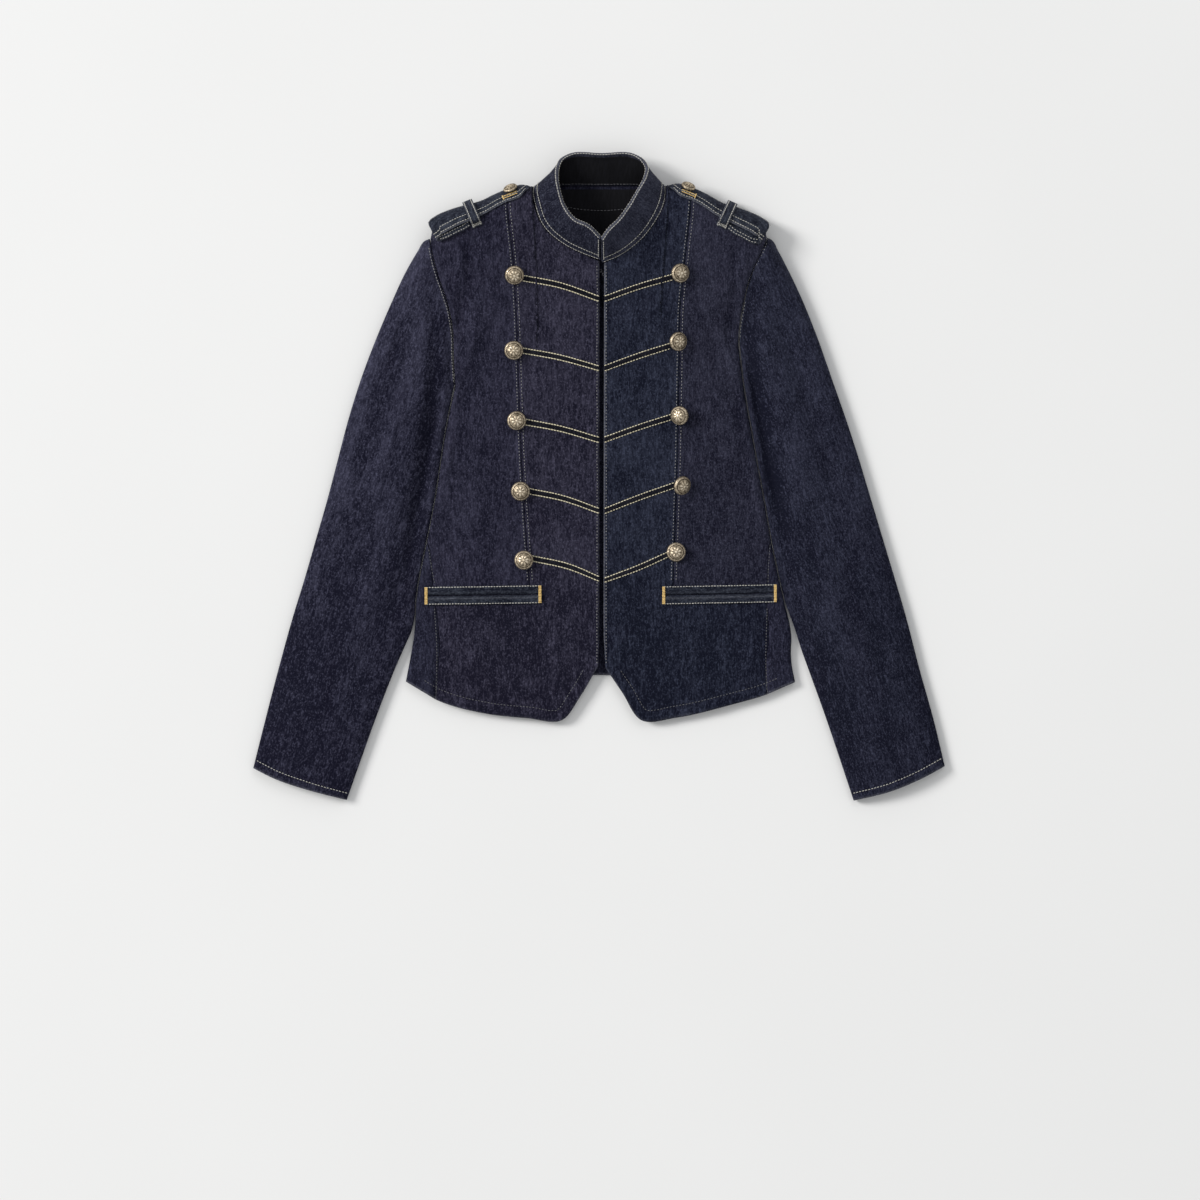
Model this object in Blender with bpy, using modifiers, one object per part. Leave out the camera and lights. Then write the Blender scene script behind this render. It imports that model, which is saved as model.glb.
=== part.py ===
"""Cropped denim jacket with a stand collar, laid flat on its back, front up.

Metres, +Z up. The jacket rests on z = 0 with its back down; the collar points
to +Y and the hem to -Y. _L is the -X side, _R the +X side. Every cut piece is
its own wall of cloth; what is sewn on lies on the panels and follows them.
"""
import bpy
import math
import numpy as np
from mathutils import Matrix, Vector

# ---------------------------------------------------------------- sizes
MM = 0.001
UNIT = 1.07                  # mm: one unit of the plan tables (x right, y down)
PLAN_X, PLAN_Y = 599.0, 476.8   # plan point over the origin
WALL = 1.6                   # mm, panels and sleeves
WALL_COLLAR = 1.2            # mm, each layer of the collar
WALL_STRAP = 1.8             # mm, doubled strap cloth
WALL_WELT = 1.0              # mm
SEAM = 0.2                   # mm that each piece keeps back from its seam
NECK_GAP = 0.8               # mm from the collar's foot to the fronts' neckline
LIFT = 0.5                   # mm under what lies on a panel
SHOULDER_ROLL = 19.0         # mm, plan depth of the steep shoulder slope
SHOULDER_FOOT = 2.1          # mm, where the fronts stand on the back
BUTTON_D = 20.3              # mm
BUTTON_H = 6.2               # mm, dome with its rim
SHANK_H = 3.2                # mm
STRAP_BUTTON_D = 15.5        # mm

# height of the front's outer face by plan row, mm: in the middle, at the sides
HEIGHTS = (  # y, middle, side
    (150, 30.0, 9.0), (190, 29.5, 9.0), (215, 28.5, 9.0), (240, 25.5, 9.0), (262, 22.5, 9.0),
    (300, 17.0, 9.0), (350, 13.6, 9.0), (420, 11.6, 8.8), (520, 11.0, 8.6),
    (600, 10.6, 8.4), (660, 9.8, 8.0), (730, 8.6, 7.6))

# largest folds of the fronts: a ridge (+) or groove (-) along a line
FOLDS = (  # x0, y0, x1, y1, rise mm, half width mm
    (462, 262, 457, 292, 1.6, 9), (464, 300, 459, 338, -2.2, 8), (478, 318, 463, 384, 2.0, 9),
    (740, 262, 746, 300, 1.5, 9), (733, 300, 735, 350, -1.8, 9), (722, 322, 741, 388, 1.6, 10),
    (560, 300, 556, 420, 0.8, 24), (640, 320, 644, 470, 0.7, 24),
    (478, 610, 470, 700, 0.9, 16), (705, 612, 716, 700, 0.9, 16))

SIDES = {
    'L': dict(
        sign=-1,
        front_edge=((599.3, 262), (599.3, 420), (599.2, 594.5)),
        front_edge_low=((599.2, 594.5), (599.0, 640), (598.2, 666)),
        neck=((599.3, 262), (584, 255.6), (563, 245.2), (543, 227.2), (533.6, 205), (531, 191), (532.5, 186.6)),
        shoulder=((532.5, 186.6), (519, 187), (507, 191.2), (493, 197), (480, 203.5), (466, 209.5),
                  (452, 215), (442, 219.5), (434, 227), (430.5, 239)),
        strap_line=((532.5, 186.6), (519, 187), (507, 191.2), (493, 197), (480, 203.5), (466, 209.5), (452, 215),
                    (441, 219.8), (427.5, 226.5)),
        princess_at=0.215,        # share of the shoulder from the neck to the seam
        princess=((508, 206), (514, 265), (516, 296), (518.5, 360), (521, 436), (525, 513), (530, 580),
                  (531, 595)),
        princess_low=((531, 595), (530, 650), (527, 718)),
        pocket=((531, 595), (480, 595.8), (434.8, 596)),
        armhole=((430.5, 239), (433.5, 257), (438, 274), (444, 292), (449.7, 310), (453, 329), (454, 361), (455.6, 385.6)),
        side=((455.6, 385.6), (447, 425), (442, 456), (437.5, 487), (431, 523), (426.5, 545), (421, 572),
              (416.5, 600), (415.5, 620), (413.8, 638), (411.5, 652), (406, 681.5)),
        hem=((598.2, 666), (580.5, 696), (562.3, 719.8), (527, 717.8), (484, 713), (436, 699.5), (406, 681.5)),
        wrap=((385, 0), (541, 0), (549, 4.5), (569, 11), (608, 20.5), (646, 26.5), (700, 30)),
        sleeve_out=((430.5, 239), (426, 240.5), (417.5, 252), (407, 270), (393, 300), (376, 340), (361, 380), (348.5, 420),
                    (338, 460), (327.5, 500), (316, 540), (304.5, 580), (294, 614), (279, 668), (265, 722), (253.5, 768)),
        sleeve_in_free=((415.2, 612), (412, 630), (406, 644), (398, 662), (379, 710), (361, 760), (347, 799.8)),
        cuff=((253.5, 768), (275, 778.5), (311, 790.5), (347, 799.8)),
        welt=((425.4, 595.9), (483, 595.2), (541, 594.2)),
        welt_tall=18.0,
        buttons=((514.8, 275.4, 0, 14), (514, 350.7, 0, 5), (516.6, 420.8, 2, 4), (520.7, 491, 0, 6), (524, 560, 0, 3)),
    ),
    'R': dict(
        sign=1,
        front_edge=((604.2, 264), (603.9, 420), (603.6, 594.5)),
        front_edge_low=((603.6, 594.5), (604.0, 640), (605.6, 668)),
        neck=((604.2, 265.2), (619, 257.8), (637, 245.4), (655, 224.4), (664.6, 206.5), (667.4, 191), (666.5, 186)),
        shoulder=((666.5, 186), (681, 185.8), (695, 190.8), (712, 199), (723, 206), (734, 211), (744, 215.5),
                  (757, 223), (764, 229), (766.8, 238)),
        strap_line=((666.5, 186), (681, 185.8), (695, 190.8), (712, 199), (723, 206), (734, 211), (744, 215.5),
                    (757, 221.5), (770.5, 229)),
        princess_at=0.22,
        princess=((691, 206), (685.5, 258), (680.5, 309), (679.5, 360), (678, 449), (676, 513), (673.5, 581),
                  (673, 595)),
        princess_low=((673, 595), (674, 650), (677, 717.5)),
        pocket=((673, 595), (720, 594.6), (766.8, 594.2)),
        armhole=((766.8, 238), (761, 253), (755, 265), (747.7, 284.5), (742.4, 308), (738.6, 334), (738.4, 345.6)),
        side=((738.4, 345.6), (744.5, 393), (751, 430), (757, 464), (763, 496), (771.5, 544), (779, 580), (785, 606),
              (789.5, 624), (791.3, 638), (790.8, 650), (791.6, 664), (795, 682)),
        hem=((605.6, 668), (622, 692), (641.3, 719.8), (677, 716.8), (731, 704.5), (768, 694), (795, 682)),
        wrap=((345, 0), (541, 0), (549, 4.5), (577, 11), (608, 18.5), (659, 25), (700, 28)),
        sleeve_out=((766.8, 238), (770.5, 239.5), (778, 251), (788, 270), (802, 300), (818, 340), (832, 380), (846, 420),
                    (859, 460), (871, 500), (883, 540), (895, 580), (905, 614), (919, 668), (934, 722), (944.5, 766)),
        sleeve_in_free=((788.5, 612), (795, 630), (801, 649), (810, 674), (823, 710), (840, 760), (853.5, 800.5)),
        cuff=((944.5, 766), (920, 779), (891, 791), (853.5, 800.5)),
        welt=((662.8, 595.4), (719, 594.4), (776, 593.3)),
        welt_tall=18.2,
        buttons=((678.6, 274, 22, 4), (676.3, 342, 27, 4), (681, 415.7, -24, 6), (680, 485, 32, 14), (676, 552, 0, 2)),
    ),
}

# height of a sleeve by share of its length, mm: crest, outer fold, inner fold
SLEEVE_HEIGHTS = (  # along, crest, outer, inner
    (0.00, 22.0, 2.5, 4.5), (0.08, 20.5, 6.0, 4.6), (0.20, 18.0, 7.0, 4.8), (0.45, 16.0, 6.5, 5.0),
    (0.75, 14.0, 6.0, 5.4), (1.00, 12.4, 5.6, 5.4))
SLEEVE_FOLDS = (  # share across and along at both ends, rise mm, half width (share across)
    (0.30, 0.08, 0.26, 0.42, -2.6, 0.07), (0.52, 0.06, 0.60, 0.40, 1.4, 0.10), (0.84, 0.02, 0.82, 0.34, -2.4, 0.08),
    (0.40, 0.48, 0.34, 0.62, -1.2, 0.12), (0.62, 0.55, 0.45, 0.72, 1.0, 0.12))

# stand collar, one row a section from the centre front round the neck:
# foot x, y, z mm and top x, y, z mm
COLLAR = (
    (599.9, 260.8, 20.8, 599.9, 241.0, 49.0), (584.0, 255.0, 21.6, 589.0, 229.8, 52.0),
    (563.0, 244.6, 23.2, 573.5, 222.0, 51.0), (543.4, 226.8, 25.4, 564.0, 209.0, 48.0),
    (535.0, 205.0, 25.4, 559.0, 194.0, 44.0), (533.2, 191.5, 15.5, 556.4, 178.0, 38.5),
    (536.0, 185.8, 5.0, 557.0, 168.5, 32.0), (546.0, 185.6, 1.7, 560.6, 160.2, 26.0),
    (570.0, 186.2, 0.8, 569.5, 154.8, 21.0), (600.0, 186.5, 0.6, 601.5, 154.2, 19.5),
    (630.0, 186.2, 0.8, 633.5, 154.8, 21.0), (654.0, 185.4, 1.7, 642.6, 160.2, 26.0),
    (663.3, 185.4, 5.0, 647.5, 168.5, 32.0), (665.2, 191.5, 15.5, 646.0, 178.0, 38.5),
    (663.2, 206.5, 25.4, 637.5, 194.0, 44.0), (654.4, 224.0, 25.4, 628.5, 209.6, 48.0),
    (636.6, 244.8, 23.2, 618.0, 224.0, 51.0), (618.6, 257.2, 21.6, 609.5, 232.2, 52.0),
    (602.3, 263.6, 20.8, 602.0, 243.0, 49.0))

# shoulder straps: shares of the strap's line from the neck, then the plan depth of the
# strap's front edge below that line, mm
STRAP_DEPTH = (  # share, depth
    (0.0, 3.0), (0.10, 11.5), (0.3, 13.0), (0.6, 15.0), (0.8, 16.0), (0.98, 17.5))
STRAP = dict(
    L=dict(tip=0.02, shoulder_end=0.985, keeper=0.591, button=0.197, depth=STRAP_DEPTH, under=5.5),
    R=dict(tip=0.02, shoulder_end=0.985, keeper=0.602, button=0.192, depth=STRAP_DEPTH, under=8.0))

# mesh spacing
ROWS_UP = (0, 0.012, 0.032, 0.065, 0.12, 0.20, 0.31, 0.42, 0.52, 0.63, 0.74, 0.85, 0.93, 1)
ROWS_LOW = (0, 0.12, 0.40, 0.70, 1)
COLS_CENTRE = (0, 1 / 6, 2 / 6, 3 / 6, 4 / 6, 5 / 6, 1)
COLS_SIDE = (0, 0.20, 0.40, 0.60, 0.78, 0.90, 0.965, 1)
ARMPIT_ROW = 7               # the row of ROWS_UP that ends at the armpit
SLEEVE_ALONG = 17
SLEEVE_ROUND = 22

COLOURS = dict(
    denim=(0.020, 0.021, 0.040, 1), facing=(0.006, 0.006, 0.008, 1), brass=(0.42, 0.36, 0.26, 1),
    steel=(0.30, 0.30, 0.32, 1))


# ---------------------------------------------------------------- lines and tables
def read_table(rows, at, column=1):
    """Smooth value of a table's column at the given key, level beyond its ends."""
    keys = np.array([r[0] for r in rows], float)
    vals = np.array([r[column] for r in rows], float)
    slope = np.gradient(vals, keys)
    at = np.clip(np.asarray(at, float), keys[0], keys[-1])
    i = np.clip(np.searchsorted(keys, at, side='right') - 1, 0, len(keys) - 2)
    h = keys[i + 1] - keys[i]
    t = (at - keys[i]) / h
    return ((2 * t**3 - 3 * t**2 + 1) * vals[i] + (t**3 - 2 * t**2 + t) * h * slope[i]
            + (3 * t**2 - 2 * t**3) * vals[i + 1] + (t**3 - t**2) * h * slope[i + 1])


def dense(points, steps=10):
    """The smooth line through a row of points."""
    p = np.array(points, float)
    if len(p) == 2:
        return p[0] + (p[1] - p[0]) * np.linspace(0, 1, steps + 1)[:, None]
    knots = np.concatenate([[0], np.cumsum(np.linalg.norm(np.diff(p, axis=0), axis=1))])
    fine = np.concatenate([np.linspace(a, b, steps, endpoint=False) for a, b in zip(knots[:-1], knots[1:])] + [knots[-1:]])
    return np.stack([read_table(np.stack([knots, p[:, k]], 1), fine) for k in range(p.shape[1])], 1)


class Line:
    """A smooth plan line, read by the share of its length."""

    def __init__(self, points):
        self.p = dense(points)
        seg = np.linalg.norm(np.diff(self.p, axis=0), axis=1)
        self.s = np.concatenate([[0], np.cumsum(seg)])
        self.length = self.s[-1]

    def at(self, share):
        q = np.asarray(share, float) * self.length
        return np.stack([np.interp(q, self.s, self.p[:, k]) for k in range(self.p.shape[1])], -1)

    def share_of(self, x, y):
        return self.s[np.argmin((self.p[:, 0] - x)**2 + (self.p[:, 1] - y)**2)] / self.length


def joined(*parts):
    """One boundary from several lines, each filling its own share of 0 to 1."""
    def at(share):
        share = np.asarray(share, float)
        out = np.zeros(share.shape + (2,))
        for line, lo, hi, a, b in parts:
            m = (share >= lo - 1e-9) & (share <= hi + 1e-9)
            out[m] = line.at(a + (b - a) * (share[m] - lo) / (hi - lo))
        return out
    return at


def patch(top, bottom, left, right, c, r):
    """Plan points filled in between four boundaries, at shares c across and r down."""
    c, r = np.broadcast_arrays(np.asarray(c, float), np.asarray(r, float))
    C, R = c[..., None], r[..., None]
    zero, one = np.zeros(1), np.ones(1)
    p00, p10, p01, p11 = top(zero)[0], top(one)[0], bottom(zero)[0], bottom(one)[0]
    return ((1 - R) * top(c) + R * bottom(c) + (1 - C) * left(r) + C * right(r)
            - ((1 - C) * (1 - R) * p00 + C * (1 - R) * p10 + (1 - C) * R * p01 + C * R * p11))


def distance(x, y, line):
    """Plan distance from points to a dense line, in units."""
    best = np.full(np.shape(x), 1e9)
    for (ax, ay), (bx, by) in zip(line[:-1], line[1:]):
        dx, dy = bx - ax, by - ay
        t = np.clip(((x - ax) * dx + (y - ay) * dy) / (dx * dx + dy * dy + 1e-12), 0, 1)
        best = np.minimum(best, np.hypot(x - ax - t * dx, y - ay - t * dy))
    return best


def smoothstep(t):
    t = np.clip(t, 0, 1)
    return t * t * (3 - 2 * t)


# ---------------------------------------------------------------- the front's outer face
SHOULDER_LINES = [dense(SIDES[k]['shoulder']) for k in 'LR']
EDGE_X = {}
for key, side in SIDES.items():
    line = dense(side['side'])
    order = np.argsort(line[:, 1])
    up_x = line[order[0], 0] + side['sign'] * np.array([70, 34, 14])
    up_y = line[order[0], 1] - np.array([90, 52, 24])
    EDGE_X[key] = (np.concatenate([up_y, line[order, 1]]), np.concatenate([up_x, line[order, 0]]))


def side_height(y):
    return read_table(HEIGHTS, y, 2)


def front_z(x, y):
    """Height in mm of the front's outer face over a plan point."""
    x, y = np.broadcast_arrays(np.asarray(x, float), np.asarray(y, float))
    middle, low = read_table(HEIGHTS, y, 1), side_height(y)
    for x0, y0, x1, y1, rise, half in FOLDS:
        dx, dy = x1 - x0, y1 - y0
        t = ((x - x0) * dx + (y - y0) * dy) / (dx * dx + dy * dy)
        off = np.hypot(x - x0 - np.clip(t, 0, 1) * dx, y - y0 - np.clip(t, 0, 1) * dy) * UNIT
        middle = middle + rise * np.exp(-(off / half)**2)
    z = middle
    for key in 'LR':
        ys, xs = EDGE_X[key]
        edge = np.interp(y, ys, xs)
        d = SIDES[key]['sign'] * (edge - x) * UNIT
        r = low / 2
        flat = low + (middle - low) * smoothstep((d - r) / 55.0)
        arc = r + np.sqrt(np.clip(r * r - (r - np.clip(d, 0, None))**2, 0, None))
        z = np.where(d < 80, np.minimum(z, np.where(d < r, arc, flat)), z)
    roll = np.minimum(*[distance(x, y, s) for s in SHOULDER_LINES]) * UNIT / SHOULDER_ROLL
    roll = np.sqrt(1 - (1 - np.clip(roll, 0, 1))**2)
    return SHOULDER_FOOT + (z - SHOULDER_FOOT) * roll


def world(x, y, z):
    """Plan units and a height in mm, as metres."""
    return np.stack([(np.asarray(x, float) - PLAN_X) * UNIT * MM, (PLAN_Y - np.asarray(y, float)) * UNIT * MM,
                     np.asarray(z, float) * MM + 0 * np.asarray(x, float)], -1)


# ---------------------------------------------------------------- objects
JACKET = 'denim_jacket'


def clear_scene():
    for ob in list(bpy.data.objects):
        bpy.data.objects.remove(ob, do_unlink=True)
    for col in list(bpy.data.collections):
        bpy.data.collections.remove(col)
    col = bpy.data.collections.new(JACKET)
    bpy.context.scene.collection.children.link(col)
    return col


def material(name, colour, rough, metal=0.0):
    m = bpy.data.materials.new(name)
    m.use_nodes = True
    b = m.node_tree.nodes['Principled BSDF']
    b.inputs['Base Color'].default_value = COLOURS[colour]
    b.inputs['Roughness'].default_value = rough
    b.inputs['Metallic'].default_value = metal
    m.diffuse_color = COLOURS[colour]
    return m


def add_object(name, mesh, colour, rough=0.85, metal=0.0):
    mesh.materials.append(material(name + '_finish', colour, rough, metal))
    ob = bpy.data.objects.new(name, mesh)
    bpy.data.collections[JACKET].objects.link(ob)
    return ob


def cloth(name, grid, wall, colour='denim', keep=None, loop=False, face_way=None, inward=True):
    """A wall of cloth on a grid of outer points (rows, columns, xyz).

    keep(row, column) says which faces belong to the piece; loop joins the last
    column to the first; face_way is a direction that the middle face looks to.
    """
    grid = np.asarray(grid, float)
    m, n = grid.shape[:2]
    faces = []
    for i in range(m - 1):
        for j in range(n if loop else n - 1):
            if keep is None or keep(i, j):
                k = (j + 1) % n
                faces.append((i * n + j, i * n + k, (i + 1) * n + k, (i + 1) * n + j))
    used = sorted({v for f in faces for v in f})
    index = {v: i for i, v in enumerate(used)}
    pts = grid.reshape(-1, 3)
    a, b, c, d = (Vector(pts[v]) for v in faces[len(faces) // 2])
    if (c - a).cross(d - b).dot(Vector(face_way)) < 0:
        faces = [f[::-1] for f in faces]
    mesh = bpy.data.meshes.new(name)
    mesh.from_pydata([tuple(pts[v]) for v in used], [], [tuple(index[v] for v in f) for f in faces])
    mesh.validate()
    ob = add_object(name, mesh, colour)
    wall_mod = ob.modifiers.new('wall', 'SOLIDIFY')
    wall_mod.thickness = wall * MM
    wall_mod.offset = -1 if inward else 1
    wall_mod.use_rim = True
    wall_mod.use_quality_normals = True
    return ob


# ---------------------------------------------------------------- fronts
def side_seam(key, y):
    """Plan depth in mm from the side fold to the side seam (0 where it runs on the fold)."""
    ys, depths = zip(*SIDES[key]['wrap'])
    return np.interp(y, ys, depths) * UNIT


def edge_x(key, y):
    ys, xs = EDGE_X[key]
    return np.interp(y, ys, xs)


def side_rows(key):
    """Plan points down the side from the armpit to the hem: on the fold, and on the seam inside it."""
    s = SIDES[key]
    top, pocket_y, corner = s['side'][0][1], s['pocket'][-1][1], s['side'][-1][1]
    hem = Line(s['hem'])
    seam_foot = hem.at(hem.share_of(*s['hem'][-2]))[1]
    split = ROWS_UP[ARMPIT_ROW]
    up = top + (np.array(ROWS_UP[ARMPIT_ROW:]) - split) / (1 - split) * (pocket_y - top)
    low = np.array(ROWS_LOW[1:])
    y_fold = np.concatenate([up, pocket_y + low * (corner - pocket_y)])
    y_seam = np.concatenate([up, pocket_y + low * (seam_foot - pocket_y)])
    x_seam = edge_x(key, y_fold) - s['sign'] * side_seam(key, y_seam) / UNIT
    return np.stack([edge_x(key, y_fold), y_fold], -1), np.stack([x_seam, y_seam], -1)


def front_grid(key):
    """Plan points of one front: centre and side columns, upper and skirt rows."""
    s = SIDES[key]
    neck, shoulder = Line(s['neck']), Line(s['shoulder'])
    start = shoulder.at(s['princess_at'])
    princess = Line((tuple(start),) + s['princess'])
    armhole, side = Line(s['armhole']), Line(s['side'])
    edge, edge_low = Line(s['front_edge']), Line(s['front_edge_low'])
    pocket, low = Line(s['pocket']), Line(s['princess_low'])
    pocket_in = Line((tuple(edge.at(1.0)), s['pocket'][0]))
    hem = Line(s['hem'])
    point = hem.share_of(*s['hem'][2])
    under = hem.share_of(*s['hem'][3])
    seam_end = hem.share_of(*s['hem'][-2])

    def side_up(share):           # armhole, then the side fold or the seam inside it
        share = np.asarray(share, float)
        split = ROWS_UP[ARMPIT_ROW]
        seam = side_rows(key)[1][:len(ROWS_UP) - ARMPIT_ROW]
        out = np.stack([np.interp(share, ROWS_UP[ARMPIT_ROW:], seam[:, k]) for k in (0, 1)], -1)
        m = share <= split
        out[m] = armhole.at(share[m] / split)
        return out

    def side_low(share):
        share = np.asarray(share, float)
        seam = side_rows(key)[1][len(ROWS_UP) - ARMPIT_ROW - 1:]
        return np.stack([np.interp(share, ROWS_LOW, seam[:, k]) for k in (0, 1)], -1)

    cut = 5 / 6
    top_c = joined((neck, 0, cut, 0, 1), (shoulder, cut, 1, 0, s['princess_at']))
    top_s = joined((shoulder, 0, 1, s['princess_at'], 1))
    low_c = joined((hem, 0, 0.5, 0, point), (hem, 0.5, 1, point, under))
    low_s = joined((hem, 0, 1, under, seam_end))
    c1, c2 = np.array(COLS_CENTRE)[None, :], np.array(COLS_SIDE)[None, :]
    r1, r2 = np.array(ROWS_UP)[:, None], np.array(ROWS_LOW)[:, None]
    uc = patch(top_c, pocket_in.at, edge.at, princess.at, c1, r1)
    us = patch(top_s, pocket.at, princess.at, side_up, c2, r1)
    lc = patch(pocket_in.at, low_c, edge_low.at, low.at, c1, r2)
    ls = patch(pocket.at, low_s, low.at, side_low, c2, r2)
    up = np.concatenate([uc, us[:, 1:]], 1)
    down = np.concatenate([lc, ls[:, 1:]], 1)
    return np.concatenate([up, down[1:]], 0)


def make_fronts(key):
    s = SIDES[key]
    sign = s['sign']
    plan = front_grid(key)
    nc, nr = len(COLS_CENTRE) - 1, len(ROWS_UP) - 1
    rows, cols = plan.shape[:2]
    gap = SEAM / UNIT

    def keep_centre(i, j):
        return j < nc or i >= nr

    def keep_side(i, j):
        return j >= nc and i < nr

    for name, keep in (('front_centre_', keep_centre), ('front_side_', keep_side)):
        p = plan.copy()
        lift = np.zeros((rows, cols))
        toward_front = -sign * gap
        if name == 'front_centre_':
            p[:nr, nc, 0] += toward_front
            p[nr, nc, 0] += toward_front * 0.5
            p[nr, nc + 1:, 1] += gap
            c = np.array([600.0, 215.0])
            out = p[0, :nc] - c
            p[0, :nc] += out / np.linalg.norm(out, axis=1)[:, None] * (NECK_GAP / UNIT)
        else:
            p[:nr + 1, nc, 0] -= toward_front
            p[nr, nc:, 1] -= gap
            p[:ARMPIT_ROW + 1, -1, 0] += toward_front
        z = front_z(p[..., 0], p[..., 1])
        fold = side_seam(key, p[:, -1, 1]) < 0.5
        below = np.arange(rows) >= ARMPIT_ROW
        for col, arc in ((-1, SEAM + 0.4), (-2, 2.2), (-3, 5.0)):   # round the side fold
            y = p[:, col, 1]
            r = side_height(y) / 2
            turn = np.where(fold & below, arc / r, 0)
            on_arc = edge_x(key, y) - sign * r * (1 - np.cos(turn)) / UNIT
            p[:, col, 0] = np.where(fold & below, on_arc, p[:, col, 0])
            z[:, col] = np.where(fold & below, r * (1 + np.sin(turn)), z[:, col])
        p[:, -1, 0] += np.where(~fold & below, toward_front, 0)
        cloth(name + key, world(p[..., 0], p[..., 1], z + lift), WALL, keep=keep, face_way=(0, 0, 1))


# ---------------------------------------------------------------- back
BACK_COLS = 12
BACK_ROWS_UP = (0, 0.12, 0.31, 0.54, 0.78)    # shares of the armhole
BACK_ARMPIT = len(BACK_ROWS_UP)
FOLD_STEPS = 5


def make_back():
    """Flat under the fronts; below the armpits it rolls up round both sides."""
    L, R = SIDES['L'], SIDES['R']
    cut = 0.36
    top = joined((Line(L['shoulder'][::-1]), 0, cut, 0, 1),
                 (Line((L['shoulder'][0], (545, 187.4), (600, 187.5), (654, 187.2), R['shoulder'][0])), cut, 1 - cut, 0, 1),
                 (Line(R['shoulder']), 1 - cut, 1, 0, 1))
    hem = Line((L['side'][-1], (500, 677), (600, 675), (700, 677.5), R['side'][-1]))

    rows = np.array(BACK_ROWS_UP + tuple(1 + k for k in range(len(side_rows('L')[0]))), float)
    rows[:BACK_ARMPIT] *= 0.42
    rows[BACK_ARMPIT:] = 0.42 + 0.58 * (rows[BACK_ARMPIT:] - 1) / (len(rows) - 1 - BACK_ARMPIT)

    def side_line(key):
        s = SIDES[key]
        up = Line(s['armhole']).at(np.array(BACK_ROWS_UP))
        up[:, 0] -= s['sign'] * SEAM / UNIT
        down = side_rows(key)[0].copy()
        down[:, 0] -= s['sign'] * side_height(down[:, 1]) / 2 / UNIT
        points = np.concatenate([up, down])

        def at(share):
            return np.stack([np.interp(share, rows, points[:, k]) for k in (0, 1)], -1)
        return at

    left, right = side_line('L'), side_line('R')

    def bottom(c):
        p0, p1 = left(np.ones(1))[0], right(np.ones(1))[0]
        a, b = hem.share_of(*p0), hem.share_of(*p1)
        q = hem.at(a + (b - a) * np.asarray(c, float))
        q = np.where(np.asarray(c)[..., None] <= 0, p0, q)
        return np.where(np.asarray(c)[..., None] >= 1, p1, q)

    c = np.linspace(0, 1, BACK_COLS + 1)
    flat = patch(top, bottom, left, right, c[None, :], rows[:, None])
    m = len(rows)
    wide = FOLD_STEPS
    grid = np.zeros((m, BACK_COLS + 1 + 2 * wide, 3))
    grid[:, wide:wide + BACK_COLS + 1] = world(flat[..., 0], flat[..., 1], 0.0)
    for key, col in (('L', 0), ('R', -1)):
        s = SIDES[key]
        fold, seam_line = side_rows(key)
        for i in range(BACK_ARMPIT, m):
            (x0, y0), (x1, y1) = fold[i - BACK_ARMPIT], seam_line[i - BACK_ARMPIT]
            r = float(side_height(y0)) / 2
            seam = abs(x1 - x0) * UNIT
            start = np.linspace(0, r * math.pi / 2 - SEAM - 0.3, wide + 1)
            on_fold = np.linspace(0, math.pi * r, wide)
            reach = np.concatenate([on_fold, [math.pi * r + max(seam - r, 0.6) - SEAM - 0.3]])
            w = float(smoothstep(seam / (r + 1.5)))
            run = start * (1 - w) + reach * w
            for k in range(1, wide + 1):
                q = run[k]
                if q <= math.pi * r:
                    d, z = r * (1 - math.sin(q / r)), r * (1 - math.cos(q / r))
                else:
                    d, z = r + q - math.pi * r, None
                x = x0 - s['sign'] * d / UNIT
                y = y0 + ((y1 - y0) * min(d / max(seam, 1.0), 1.0) if q > math.pi * r / 2 else 0)
                if z is None:
                    z = float(front_z(x, y))
                j = wide - k if key == 'L' else wide + BACK_COLS + k
                grid[i, j] = world(x, y, z)

    def keep(i, j):
        return wide <= j < wide + BACK_COLS or i >= BACK_ARMPIT

    ob = cloth('back', grid, WALL, keep=keep, face_way=(0, 0, -1))
    return ob


def make_back_facing():
    """Dark facing on the back's inner side, just below the neck."""
    rows = []
    for t in np.linspace(0, 1, 4):
        half = 58 - 5 * t
        x = np.linspace(-half, half, 11)
        y = 189.6 + t * (48 - 8 * (x / 60)**2)
        rows.append(world(600 + x, y, WALL + 0.3))
    cloth('back_neck_facing', rows, 0.8, colour='facing', face_way=(0, 0, 1), inward=False)


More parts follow.
